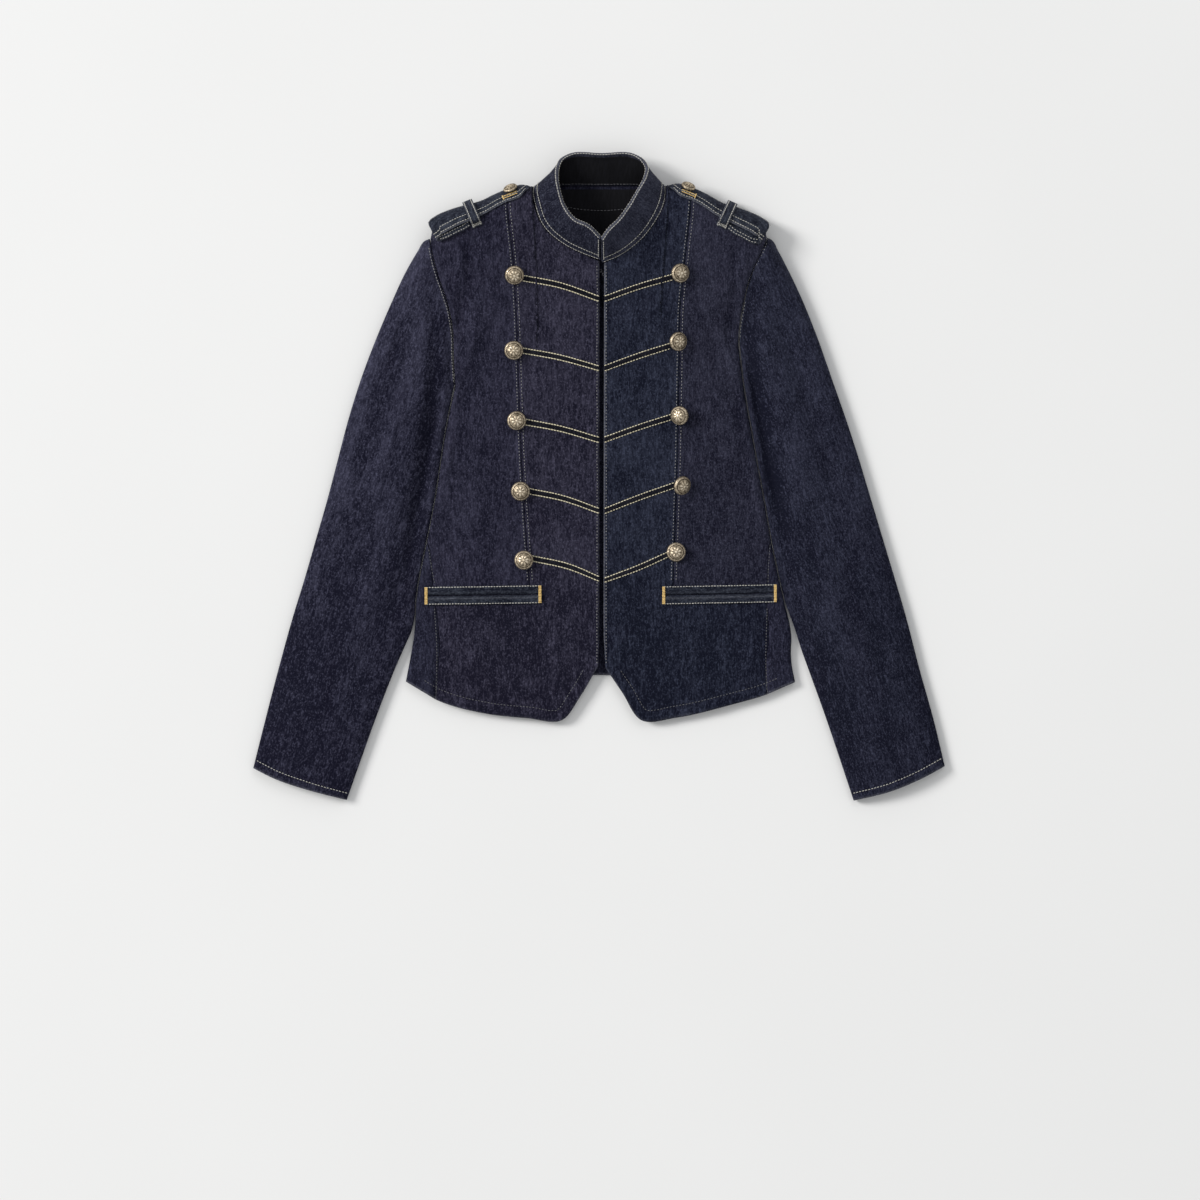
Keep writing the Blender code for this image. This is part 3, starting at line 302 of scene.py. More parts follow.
def edge_x(key, y):
    ys, xs = EDGE_X[key]
    return np.interp(y, ys, xs)


def side_rows(key):
    """Plan points down the side from the armpit to the hem: on the fold, and on the seam inside it."""
    s = SIDES[key]
    top, pocket_y, corner = s['side'][0][1], s['pocket'][-1][1], s['side'][-1][1]
    hem = Line(s['hem'])
    seam_foot = hem.at(hem.share_of(*s['hem'][-2]))[1]
    split = ROWS_UP[ARMPIT_ROW]
    up = top + (np.array(ROWS_UP[ARMPIT_ROW:]) - split) / (1 - split) * (pocket_y - top)
    low = np.array(ROWS_LOW[1:])
    y_fold = np.concatenate([up, pocket_y + low * (corner - pocket_y)])
    y_seam = np.concatenate([up, pocket_y + low * (seam_foot - pocket_y)])
    x_seam = edge_x(key, y_fold) - s['sign'] * side_seam(key, y_seam) / UNIT
    return np.stack([edge_x(key, y_fold), y_fold], -1), np.stack([x_seam, y_seam], -1)


def front_grid(key):
    """Plan points of one front: centre and side columns, upper and skirt rows."""
    s = SIDES[key]
    neck, shoulder = Line(s['neck']), Line(s['shoulder'])
    start = shoulder.at(s['princess_at'])
    princess = Line((tuple(start),) + s['princess'])
    armhole, side = Line(s['armhole']), Line(s['side'])
    edge, edge_low = Line(s['front_edge']), Line(s['front_edge_low'])
    pocket, low = Line(s['pocket']), Line(s['princess_low'])
    pocket_in = Line((tuple(edge.at(1.0)), s['pocket'][0]))
    hem = Line(s['hem'])
    point = hem.share_of(*s['hem'][2])
    under = hem.share_of(*s['hem'][3])
    seam_end = hem.share_of(*s['hem'][-2])

    def side_up(share):           # armhole, then the side fold or the seam inside it
        share = np.asarray(share, float)
        split = ROWS_UP[ARMPIT_ROW]
        seam = side_rows(key)[1][:len(ROWS_UP) - ARMPIT_ROW]
        out = np.stack([np.interp(share, ROWS_UP[ARMPIT_ROW:], seam[:, k]) for k in (0, 1)], -1)
        m = share <= split
        out[m] = armhole.at(share[m] / split)
        return out

    def side_low(share):
        share = np.asarray(share, float)
        seam = side_rows(key)[1][len(ROWS_UP) - ARMPIT_ROW - 1:]
        return np.stack([np.interp(share, ROWS_LOW, seam[:, k]) for k in (0, 1)], -1)

    cut = 5 / 6
    top_c = joined((neck, 0, cut, 0, 1), (shoulder, cut, 1, 0, s['princess_at']))
    top_s = joined((shoulder, 0, 1, s['princess_at'], 1))
    low_c = joined((hem, 0, 0.5, 0, point), (hem, 0.5, 1, point, under))
    low_s = joined((hem, 0, 1, under, seam_end))
    c1, c2 = np.array(COLS_CENTRE)[None, :], np.array(COLS_SIDE)[None, :]
    r1, r2 = np.array(ROWS_UP)[:, None], np.array(ROWS_LOW)[:, None]
    uc = patch(top_c, pocket_in.at, edge.at, princess.at, c1, r1)
    us = patch(top_s, pocket.at, princess.at, side_up, c2, r1)
    lc = patch(pocket_in.at, low_c, edge_low.at, low.at, c1, r2)
    ls = patch(pocket.at, low_s, low.at, side_low, c2, r2)
    up = np.concatenate([uc, us[:, 1:]], 1)
    down = np.concatenate([lc, ls[:, 1:]], 1)
    return np.concatenate([up, down[1:]], 0)


def sleeve_surface(key, u, v, upper):
    """Outer face of a sleeve: share u across from the outer fold, v down from the armhole."""
    s = SIDES[key]
    armhole, cuff, outer = Line(s['armhole']), Line(s['cuff']), Line(s['sleeve_out'])
    side = dense(s['side'])
    side = side[side[:, 1] < s['sleeve_in_free'][0][1] - 6]
    side[:, 0] += s['sign'] * 0.9 / UNIT
    inner = Line(tuple(map(tuple, side[::3])) + s['sleeve_in_free'])
    top = joined((armhole, 0, 1, 0, 1))
    p = patch(top, cuff.at, outer.at, inner.at, u, v)
    gap = (SEAM + 0.4) / UNIT * smoothstep(1 - v / 0.05)
    p[..., 0] += s['sign'] * gap
    crest, out_z, in_z = (read_table(SLEEVE_HEIGHTS, v, k) for k in (1, 2, 3))
    bow = 2 * np.sqrt(np.clip(u * (1 - u), 0, None))
    edge = out_z + (in_z - out_z) * u
    if not upper:
        return p, edge * np.clip(1 - bow / 0.45, 0, 1)**2
    own = crest * (1 - 0.22 * smoothstep((u - 0.5) / 0.5) * smoothstep((0.75 - v) / 0.3))
    for u0, v0, u1, v1, rise, half in SLEEVE_FOLDS:
        t = np.clip(((u - u0) * (u1 - u0) + 9 * (v - v0) * (v1 - v0)) / ((u1 - u0)**2 + 9 * (v1 - v0)**2), 0, 1)
        off = np.hypot(u - u0 - t * (u1 - u0), 3 * (v - v0 - t * (v1 - v0)))
        own = own + rise * np.exp(-(off / half)**2)
    own = edge + (own - edge) * bow**0.85
    seam = armhole.at(u)
    body = front_z(seam[..., 0], seam[..., 1])
    w = smoothstep(v / 0.13)
    return p, body * (1 - w) + own * w


def shoulder_frame(key, share):
    """Plan point on the strap's line along the shoulder and the plan direction into the front."""
    line = Line(SIDES[key]['strap_line'])
    p = line.at(share)
    e = 0.02
    t = line.at(np.clip(share + e, 0, 1)) - line.at(np.clip(share - e, 0, 1))
    t /= np.linalg.norm(t, axis=-1, keepdims=True)
    n = np.stack([-t[..., 1], t[..., 0]], -1)
    n = np.where((n[..., 1] < 0)[..., None], -n, n)
    return p, n


def slope_z(x, y):
    """Height of the side front's slope; past the armhole the strap keeps the edge's height."""
    return front_z(np.clip(x, 441.5, 757.5), y)


def on_shoulder(key, share, depth, out):
    """A point over the shoulder slope: plan depth mm from its line, moved out by out mm."""
    share, depth, out = np.broadcast_arrays(*(np.asarray(q, float) for q in (share, depth, out)))
    p, n = shoulder_frame(key, share)
    q = p + n * (depth / UNIT)[..., None]
    z = slope_z(q[..., 0], q[..., 1])
    e = 0.35
    up = world(q[..., 0], q[..., 1], z)
    step = p + n * ((depth + e) / UNIT)[..., None]
    down = p + n * (np.maximum(depth - e, 0) / UNIT)[..., None]
    a = world(step[..., 0], step[..., 1], slope_z(step[..., 0], step[..., 1]))
    b = world(down[..., 0], down[..., 1], slope_z(down[..., 0], down[..., 1]))
    slope = a - b
    along = np.stack([n[..., 1], n[..., 0], 0 * n[..., 0]], -1)
    normal = np.cross(slope, along)
    normal /= np.linalg.norm(normal, axis=-1, keepdims=True)
    normal = np.where((normal[..., 2] < 0)[..., None], -normal, normal)
    return up + normal * out[..., None] * MM, normal


def strap_path(key):
    """Share, lift mm and plan drop mm, from the tip over the loop to its hidden end."""
    k = STRAP[key]
    end, keeper = k['shoulder_end'], k['keeper']
    drop = k['under']
    rows = [(t, LIFT + WALL_STRAP, 0.0) for t in np.linspace(k['tip'], keeper - 0.16, 6)]
    rows += [(keeper - 0.08, LIFT + WALL_STRAP + 0.8, 0), (keeper, LIFT + WALL_STRAP * 2 + 0.5, 0),
             (keeper + 0.12, 6.2, 0), (end - 0.08, 6.8, 0), (end - 0.02, 6.4, 0.1 * drop), (end, 4.4, 0.35 * drop),
             (end - 0.01, 2.9, 0.65 * drop), (end - 0.05, 2.2, 0.9 * drop), (end - 0.12, 2.0, drop),
             (end - 0.18, 1.8, drop), (keeper + 0.12, 1.4, drop), (keeper + 0.055, 0.9, 0.8 * drop)]
    return rows


def hang_height(tilt, size, shank):
    """How far a tilted button's middle moves up so that its rim just clears the cloth, mm."""
    lean = math.radians(math.hypot(*tilt))
    return max(size / 2 * math.sin(lean) - shank * math.cos(lean) + 0.2, 2.2 * math.sin(lean))


# ---------------------------------------------------------------- fine spacing
def refined(shares, length, step):
    """Shares with more between them, about step mm apart on a line of that length."""
    out = [0.0]
    for a, b in zip(shares[:-1], shares[1:]):
        n = max(3, round((b - a) * length / step))
        out += list(np.linspace(a, b, n + 1)[1:])
    return np.array(out)


ARMPIT_SHARE = 0.42
ROWS_UP = refined((0, 0.012, 0.032, 0.065, 0.12, 0.20, 0.31, ARMPIT_SHARE, 0.52, 0.63, 0.74, 0.85, 0.93, 1), 416, 2.2)
ROWS_LOW = refined((0, 0.12, 0.40, 0.70, 0.90, 1), 132, 1.9)
COLS_CENTRE = refined((0, 1 / 6, 2 / 6, 3 / 6, 4 / 6, 5 / 6, 1), 92, 1.9)
COLS_SIDE = refined((0, 0.20, 0.40, 0.60, 0.78, 0.90, 0.965, 1), 100, 1.9)
ARMPIT_ROW = int(np.argmin(abs(ROWS_UP - ARMPIT_SHARE)))


# ---------------------------------------------------------------- relief of the cloth
def lattice(x, y, wide, tall, seed):
    """Smooth uneven field between -1 and 1, with patches wide by tall."""
    rng = np.random.RandomState(seed)
    table = rng.uniform(-1, 1, (64, 64))
    u, v = np.asarray(x, float) / wide, np.asarray(y, float) / tall
    i, j = np.floor(u).astype(int), np.floor(v).astype(int)
    a, b = smoothstep(u - i), smoothstep(v - j)
    i0, i1, j0, j1 = i % 64, (i + 1) % 64, j % 64, (j + 1) % 64
    return ((table[j0, i0] * (1 - a) + table[j0, i1] * a) * (1 - b)
            + (table[j1, i0] * (1 - a) + table[j1, i1] * a) * b)


def nearest(x, y, line):
    """Plan distance to a dense line, the side of it and the share along it."""
    best = np.full(np.shape(x), 1e9)
    share = np.zeros(np.shape(x))
    sign = np.ones(np.shape(x))
    seg = np.linalg.norm(np.diff(line, axis=0), axis=1)
    s = np.concatenate([[0], np.cumsum(seg)])
    for k, ((ax, ay), (bx, by)) in enumerate(zip(line[:-1], line[1:])):
        dx, dy = bx - ax, by - ay
        t = np.clip(((x - ax) * dx + (y - ay) * dy) / (dx * dx + dy * dy + 1e-12), 0, 1)
        d = np.hypot(x - ax - t * dx, y - ay - t * dy)
        m = d < best
        best = np.where(m, d, best)
        share = np.where(m, (s[k] + t * seg[k]) / s[-1], share)
        sign = np.where(m, np.sign(dx * (y - ay) - dy * (x - ax)), sign)
    return best, sign, share


def creased(x, y, rows):
    """Sum of soft ridges and troughs; each fades out towards its ends."""
    z = np.zeros(np.shape(x))
    for points, rise, half in rows:
        line = dense(points, 6)
        reach = 3.2 * half / UNIT
        m = ((x > line[:, 0].min() - reach) & (x < line[:, 0].max() + reach)
             & (y > line[:, 1].min() - reach) & (y < line[:, 1].max() + reach))
        if not m.any():
            continue
        d, sign, t = nearest(x[m], y[m], line)
        fade = np.sin(math.pi * np.clip(t * 0.92 + 0.04, 0, 1))**0.7
        z[m] += rise * fade * np.exp(-(d * UNIT / half)**2)
    return z


# soft troughs (-) and ridges (+) of the fronts: points, rise mm, half width mm
FRONT_CREASES = (
    (((455, 243), (459, 258), (460, 275)), 1.3, 4.5), (((468, 238), (469, 262), (470, 284)), -1.9, 4.5),
    (((463, 306), (460, 319), (457, 332)), -1.7, 4.5), (((476, 326), (468, 354), (456, 388)), 1.7, 5.0),
    (((489, 249), (495, 256)), -0.4, 2.0), (((470, 372), (465, 410), (459, 452), (452, 500)), -1.1, 8.0),
    (((458, 400), (451, 440), (445, 484), (438, 524)), 1.7, 4.5), (((494, 300), (498, 332), (492, 372)), 0.5, 9.0),
    (((486, 440), (490, 480), (488, 520)), -0.5, 9.0), (((476, 535), (482, 560), (478, 582)), 0.5, 8.0),
    (((545, 316), (556, 330), (580, 338)), -0.35, 6.0), (((540, 380), (560, 396), (590, 402)), 0.35, 7.0),
    (((536, 452), (560, 470), (588, 476)), -0.35, 7.0), (((545, 524), (562, 540), (590, 548)), 0.35, 7.0),
    (((444, 612), (452, 640), (446, 676)), 0.7, 7.0), (((462, 618), (458, 650), (463, 690)), -0.7, 7.0),
    (((492, 622), (500, 650), (494, 692)), 0.5, 9.0), (((530, 606), (538, 640), (532, 700)), -0.5, 9.0),
    (((560, 610), (556, 650), (562, 690)), 0.6, 8.0), (((582, 600), (588, 630), (590, 655)), -0.4, 6.0),
    (((746, 246), (744, 262), (748, 286)), 1.0, 4.5), (((735, 240), (733, 268), (735, 296)), -1.6, 4.5),
    (((728, 300), (731, 330), (727, 356)), -0.9, 6.0), (((716, 322), (727, 352), (741, 392)), 1.6, 5.0),
    (((729, 370), (737, 412), (744, 452), (750, 500)), -1.1, 8.0), (((742, 396), (750, 440), (757, 490), (764, 528)), 1.7, 4.5),
    (((704, 300), (700, 336), (706, 372)), 0.5, 9.0), (((712, 440), (708, 480), (714, 522)), -0.5, 9.0),
    (((722, 535), (718, 560), (724, 580)), 0.5, 8.0), (((656, 316), (646, 330), (616, 338)), -0.3, 6.0),
    (((662, 386), (644, 400), (612, 404)), 0.35, 7.0), (((660, 456), (640, 470), (614, 476)), -0.3, 7.0),
    (((620, 606), (616, 640), (622, 680)), 0.5, 7.0), (((646, 606), (640, 650), (648, 700)), -0.5, 8.0),
    (((676, 614), (684, 650), (678, 704)), 0.5, 9.0), (((716, 612), (708, 650), (714, 694)), -0.6, 8.0),
    (((746, 612), (752, 640), (744, 682)), 0.7, 7.0), (((772, 616), (768, 650), (776, 680)), -0.6, 6.0))

# the same for the sleeves' upper side
SLEEVE_CREASES = {
    'L': (
        (((424, 256), (411, 288), (399, 322), (387, 360), (375, 400), (360, 450)), 1.9, 5.5),
        (((420, 270), (407, 300), (394, 351), (379, 383), (366, 432), (354, 466)), -3.0, 6.0),
        (((424, 296), (417, 345), (403, 402), (387, 452), (374, 500)), 2.0, 8.0),
        (((436, 312), (434, 366), (432, 415), (425, 470), (416, 530), (408, 580)), -5.0, 8.0),
        (((449, 345), (447, 378), (441, 420), (433, 470)), 1.3, 4.0),
        (((392, 470), (380, 510), (372, 552), (360, 600)), -0.9, 10.0), (((344, 476), (334, 520), (326, 560)), 0.9, 8.0),
        (((404, 560), (396, 604), (388, 644)), -1.0, 7.0), (((366, 590), (356, 640), (344, 690)), 0.9, 10.0),
        (((322, 590), (312, 640), (300, 690)), -0.9, 8.0), (((340, 670), (328, 720), (322, 760)), -0.8, 8.0),
        (((300, 700), (290, 740), (284, 768)), 0.7, 7.0), (((370, 690), (358, 730), (348, 770)), 0.7, 6.0),
        (((405, 640), (396, 650), (380, 655)), -0.5, 4.0), (((396, 672), (382, 684), (366, 688)), 0.4, 5.0)),
    'R': (
        (((771, 256), (776, 284), (786, 312), (796, 350)), -1.0, 8.0),
        (((782, 268), (796, 304), (812, 348), (826, 392), (838, 436)), 1.2, 9.0),
        (((752, 286), (749, 330), (755, 372), (762, 420), (771, 470), (783, 525), (794, 580)), -5.2, 8.5),
        (((744, 330), (746, 366), (752, 410), (760, 450)), 1.0, 4.0),
        (((800, 340), (806, 390), (816, 440), (828, 490)), -1.0, 10.0),
        (((776, 330), (784, 390), (796, 440), (808, 500)), 1.0, 9.0),
        (((802, 500), (810, 545), (820, 590)), -0.9, 9.0), (((846, 480), (856, 520), (864, 566)), 0.9, 9.0),
        (((824, 560), (834, 610), (846, 660)), 0.9, 9.0), (((868, 590), (878, 640), (888, 690)), -0.9, 9.0),
        (((812, 610), (818, 640), (828, 680)), -0.9, 6.0), (((858, 672), (868, 716), (874, 760)), 0.8, 8.0),
        (((902, 690), (914, 730), (922, 762)), 0.8, 8.0), (((842, 700), (850, 740), (858, 780)), -0.7, 6.0),
        (((884, 700), (892, 740), (898, 776)), -0.7, 7.0))}

STITCH_SIDE = 2.4            # units from the princess seam to each of its two rows
HEM_BAND = 11.0              # units from the hem's edge to its stitches
PRINCESS = {k: dense(((Line(SIDES[k]['shoulder']).at(SIDES[k]['princess_at'])),) + SIDES[k]['princess'], 6) for k in 'LR'}
HEM_LINE = {k: dense(SIDES[k]['hem'], 8) for k in 'LR'}
ARMHOLE_LINE = {k: dense(SIDES[k]['armhole'], 6) for k in 'LR'}
CHEVRONS = (  # side, then the upper line and the lower line: at the button, midway, at the centre
    ('L', (522.5, 276.3), (560, 283.6), (599.0, 297.2), (522.5, 281.4), (560, 288.5), (599.0, 301.9)),
    ('L', (522, 348.6), (560, 355.6), (599.0, 366.6), (522, 353.3), (560, 360.3), (599.0, 370.9)),
    ('L', (525, 419.6), (562, 426.9), (599.0, 437.8), (525, 424.9), (562, 431.9), (599.0, 442.7)),
    ('L', (529, 488.8), (564, 496.2), (599.0, 508.8), (529, 493.8), (564, 501.1), (599.0, 513.3)),
    ('L', (532, 556.0), (569, 564.2), (599.0, 576.8), (532, 560.8), (569, 569.2), (599.0, 581.0)),
    ('R', (672.5, 275.4), (640, 284.6), (604.4, 297.2), (672.5, 280.4), (640, 289.4), (604.4, 302.0)),
    ('R', (670, 344.0), (640, 353.4), (604.4, 366.4), (670, 348.9), (640, 358.4), (604.4, 371.2)),
    ('R', (674, 414.0), (640, 424.8), (604.4, 437.6), (674, 418.9), (640, 429.6), (604.4, 442.4)),
    ('R', (674, 483.2), (640, 495.0), (604.4, 509.0), (674, 488.0), (640, 499.8), (604.4, 513.6)),
    ('R', (668, 552.2), (638, 565.6), (604.4, 578.4), (668, 556.8), (638, 570.2), (604.4, 582.2)))
CHEVRON_LINES = [(c[0], dense(c[1:4], 8), dense(c[4:7], 8)) for c in CHEVRONS]


def band(d, half, soft):
    """1 inside a strip of that half width, falling to 0 over soft."""
    return smoothstep((half - d) / soft + 0.5)


def front_relief(x, y):
    """Height in mm that creases, seams, hem and stitches add to the fronts."""
    x, y = np.broadcast_arrays(np.asarray(x, float), np.asarray(y, float))
    shape = x.shape
    x, y = x.ravel().copy(), y.ravel().copy()
    z = 0.30 * lattice(x, y, 22, 46, 3) + 0.16 * lattice(x + 9, y, 9, 17, 4) + 0.05 * lattice(x, y + 5, 4, 6, 5)
    z += creased(x, y, FRONT_CREASES)
    for key in 'LR':
        d, sign, t = nearest(x, y, PRINCESS[key])
        d = d * UNIT
        m = y < 588
        pucker = 0.16 * lattice(y, x, 6.5, 4, 8) * np.exp(-(d / 6.0)**2)
        z += np.where(m, 0.55 * band(d, 4.0, 1.6) - 0.7 * np.exp(-(d / 0.9)**2) + pucker, 0)
        for off in (-STITCH_SIDE * UNIT, STITCH_SIDE * UNIT):
            z += np.where(m, -0.22 * np.exp(-((d * sign - off) / 0.9)**2), 0)
        d, sign, t = nearest(x, y, HEM_LINE[key])
        d = d * UNIT
        hem = HEM_BAND * UNIT
        z += 0.5 * band(d, hem, 1.5) - 0.3 * np.exp(-((d - hem) / 1.2)**2)
        z += 0.32 * lattice(x, y, 7.5, 9, 12) * np.exp(-((d - hem * 0.5) / 7.0)**2) - 0.5 * np.exp(-(d / 0.9)**2)
        d, sign, t = nearest(x, y, ARMHOLE_LINE[key])
        d = d * UNIT
        z += -0.55 * np.exp(-(d / 1.3)**2) + 0.35 * np.exp(-((d - 4.0) / 2.4)**2) * (1 + lattice(y, x, 8, 9, 21))
    edge = np.where(x < 601.5, 599.3 - x, x - 603.9) * UNIT
    z += np.where(y < 668, 0.35 * band(edge, 4.6, 1.6) - 0.45 * np.exp(-(edge / 0.8)**2), 0)
    z += 0.10 * lattice(y, x, 7, 9, 30) * np.exp(-((edge - 3) / 3.5)**2)
    for key, up, low in CHEVRON_LINES:
        mid = (up + low) / 2
        near = (abs(x - mid[:, 0].mean()) < 50) & (abs(y - mid[:, 1].mean()) < 30)
        d, sign, t = nearest(x[near], y[near], mid)
        d = d * UNIT
        inside = (t > 0.001) & (t < 0.999)
        z[near] += np.where(inside, 0.35 * band(d, 2.2, 1.4) - 0.35 * np.exp(-((d - 3.4) / 1.2)**2)
                            + 0.10 * lattice(x[near], y[near], 6, 5, 33) * np.exp(-(d / 7.0)**2), 0)
    return z.reshape(shape)


def front_top(x, y):
    """Height in mm of the finished front over a plan point."""
    x, y = np.broadcast_arrays(np.asarray(x, float), np.asarray(y, float))
    base = front_z(x, y)
    calm = smoothstep((base - 4.0) / 6.0)       # quiet where the cloth rolls down to the surface
    return base + front_relief(x, y) * calm


def front_spot(x, y, out=0.0):
    """Points on the finished front, moved out by out mm, and the normals there."""
    x, y = np.broadcast_arrays(np.asarray(x, float), np.asarray(y, float))
    e = 0.5
    z = front_top(x, y)
    gx = (front_top(x + e, y) - front_top(x - e, y)) / (2 * e * UNIT)
    gy = (front_top(x, y + e) - front_top(x, y - e)) / (2 * e * UNIT)
    n = np.stack([-gx, gy, np.ones_like(gx)], -1)
    n /= np.linalg.norm(n, axis=-1, keepdims=True)
    return world(x, y, z) + n * out * MM, n


# ---------------------------------------------------------------- making meshes
COLLECTION = bpy.data.collections.new('jacket_looks')
bpy.context.scene.collection.children.link(COLLECTION)
SIZES = []


def mesh_object(name, verts, faces, mat, weave=None, tone=None, wear=None):
    mesh = bpy.data.meshes.new(name)
    verts = np.ascontiguousarray(verts, dtype=np.float32).reshape(-1, 3)
    faces = np.ascontiguousarray(faces, dtype=np.int32)
    mesh.vertices.add(len(verts))
    mesh.vertices.foreach_set('co', verts.ravel())
    mesh.loops.add(faces.size)
    mesh.loops.foreach_set('vertex_index', faces.ravel())
    mesh.polygons.add(len(faces))
    mesh.polygons.foreach_set('loop_start', np.arange(len(faces), dtype=np.int32) * faces.shape[1])
    mesh.update(calc_edges=True)
    mesh.validate()
    for label, values, kind, size in (('weave', weave, 'FLOAT_VECTOR', 3), ('tone', tone, 'FLOAT', 1), ('wear', wear, 'FLOAT', 1)):
        attribute = mesh.attributes.new(label, kind, 'POINT')
        data = np.zeros((len(verts), size), np.float32)
        if values is not None:
            data[:] = np.asarray(values, np.float32).reshape(-1, size)
        elif label == 'weave':
            data[:] = verts
        attribute.data.foreach_set('vector' if size == 3 else 'value', data.ravel())
    mesh.materials.append(mat)
    mesh.shade_smooth()
    ob = bpy.data.objects.new(name, mesh)
    COLLECTION.objects.link(ob)
    return ob


def grid_faces(m, n, loop=False, keep=None):
    i, j = np.meshgrid(np.arange(m - 1), np.arange(n if loop else n - 1), indexing='ij')
    k = (j + 1) % n
    faces = np.stack([i * n + j, i * n + k, (i + 1) * n + k, (i + 1) * n + j], -1)
    if keep is not None:
        faces = faces[keep[:m - 1, :faces.shape[1]]]
    return faces.reshape(-1, 4)


def run_lengths(grid, axis):
    """Running length in metres along an axis of a grid of points."""
    step = np.linalg.norm(np.diff(grid, axis=axis), axis=-1)
    zero = np.zeros_like(np.take(step, [0], axis))
    return np.concatenate([zero, np.cumsum(step, axis=axis)], axis)


def shell(name, node, grid, wall, mat, keep=None, loop=False, face_way=None, flip=None, inward=True, weave=None,
          tone=None, wear=None, seed=0.0):
    """A thin wall of cloth on a grid of outer points; it stands for a CAD node and is declared as a laid sheet."""
    m, n = grid.shape[:2]
    faces = grid_faces(m, n, loop, keep)
    pts = grid.reshape(-1, 3)
    if flip is None:
        a, b, c, d = (pts[faces[:, k]] for k in range(4))
        normal = np.cross(c - a, d - b)
        flip = float((normal @ np.asarray(face_way, float)).sum()) < 0
    if flip:
        faces = faces[:, ::-1]
    if weave is None:
        across = run_lengths(grid, 1)
        along = run_lengths(grid, 0)
        weave = np.stack([across, along, np.full((m, n), seed)], -1)
    used, index = np.unique(faces, return_inverse=True)
    pick = lambda values: None if values is None else np.asarray(values).reshape(m * n, -1)[used]
    ob = mesh_object(name, pts[used], index.reshape(faces.shape), mat, pick(weave), pick(tone), pick(wear))
    wall_mod = ob.modifiers.new('wall', 'SOLIDIFY')
    wall_mod.thickness = wall * MM
    wall_mod.offset = -1 if inward else 1
    wall_mod.use_rim = True
    wall_mod.use_even_offset = False
    declare(ob, node, grid, faces, loop)
    return ob


def declare(ob, node, grid, faces, loop=False, doubled=False):
    pts = grid.reshape(-1, 3)
    q = [pts[faces[:, k]] for k in range(4)]
    area = 0.5 * np.linalg.norm(np.cross(q[2] - q[0], q[3] - q[1]), axis=1).sum()
    closed = np.concatenate([grid, grid[:, :1]], 1) if loop else grid
    rows_used = np.unique(faces // grid.shape[1])
    cols_used = np.unique(faces % grid.shape[1])
    across = run_lengths(closed if loop else grid[:, cols_used[0]:cols_used[-1] + 1], 1)[rows_used, -1].max()
    along = run_lengths(grid[rows_used[0]:rows_used[-1] + 1], 0)[-1, cols_used].max()
    if doubled:                 # folded double: the cut of one layer
        across, area = across / 2, area / 2
    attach(ob, 'root')
    if node:
        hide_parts(node)
    area = min(area, across * along)
    SIZES.append((ob.name, round(float(across), 3), round(float(along), 3), round(float(area), 5)))


# ---------------------------------------------------------------- materials
def nodes_of(name):
    m = bpy.data.materials.new(name)
    m.use_nodes = True
    tree = m.node_tree
    return m, tree, tree.nodes['Principled BSDF']


def add(tree, kind, **values):
    n = tree.nodes.new(kind)
    for k, v in values.items():
        setattr(n, k, v)
    return n


def link(tree, a, b):
    tree.links.new(a, b)


def scaled(tree, source, sx, sy, sz=1.0, turn=0.0):
    n = add(tree, 'ShaderNodeMapping')
    n.inputs['Scale'].default_value = (sx, sy, sz)
    n.inputs['Rotation'].default_value = (0, 0, turn)
    link(tree, source, n.inputs['Vector'])
    return n.outputs['Vector']


def noise_at(tree, vector, detail=2.0, rough=0.5):
    n = add(tree, 'ShaderNodeTexNoise')
    n.inputs['Scale'].default_value = 1.0
    n.inputs['Detail'].default_value = detail
    n.inputs['Roughness'].default_value = rough
    link(tree, vector, n.inputs['Vector'])
    return n.outputs['Fac']


def calc(tree, op, a, b=None, c=None, clamp=False):
    n = add(tree, 'ShaderNodeMath', operation=op, use_clamp=clamp)
    for k, v in enumerate((a, b, c)):
        if v is None:
            continue
        if isinstance(v, (int, float)):
            n.inputs[k].default_value = v
        else:
            link(tree, v, n.inputs[k])
    return n.outputs[0]


def ranged(tree, value, lo, hi, to_lo=0.0, to_hi=1.0):
    n = add(tree, 'ShaderNodeMapRange', clamp=True)
    for k, v in (('From Min', lo), ('From Max', hi), ('To Min', to_lo), ('To Max', to_hi)):
        n.inputs[k].default_value = v
    link(tree, value, n.inputs['Value'])
    return n.outputs['Result']


def blended(tree, fac, a, b, mode='MIX'):
    n = add(tree, 'ShaderNodeMix', data_type='RGBA', blend_type=mode, clamp_factor=True)
    for socket, v in ((n.inputs[0], fac), (n.inputs[6], a), (n.inputs[7], b)):
        if isinstance(v, (int, float)):
            socket.default_value = v
        elif isinstance(v, tuple):
            socket.default_value = (*v, 1.0)
        else:
            link(tree, v, socket)
    return n.outputs[2]


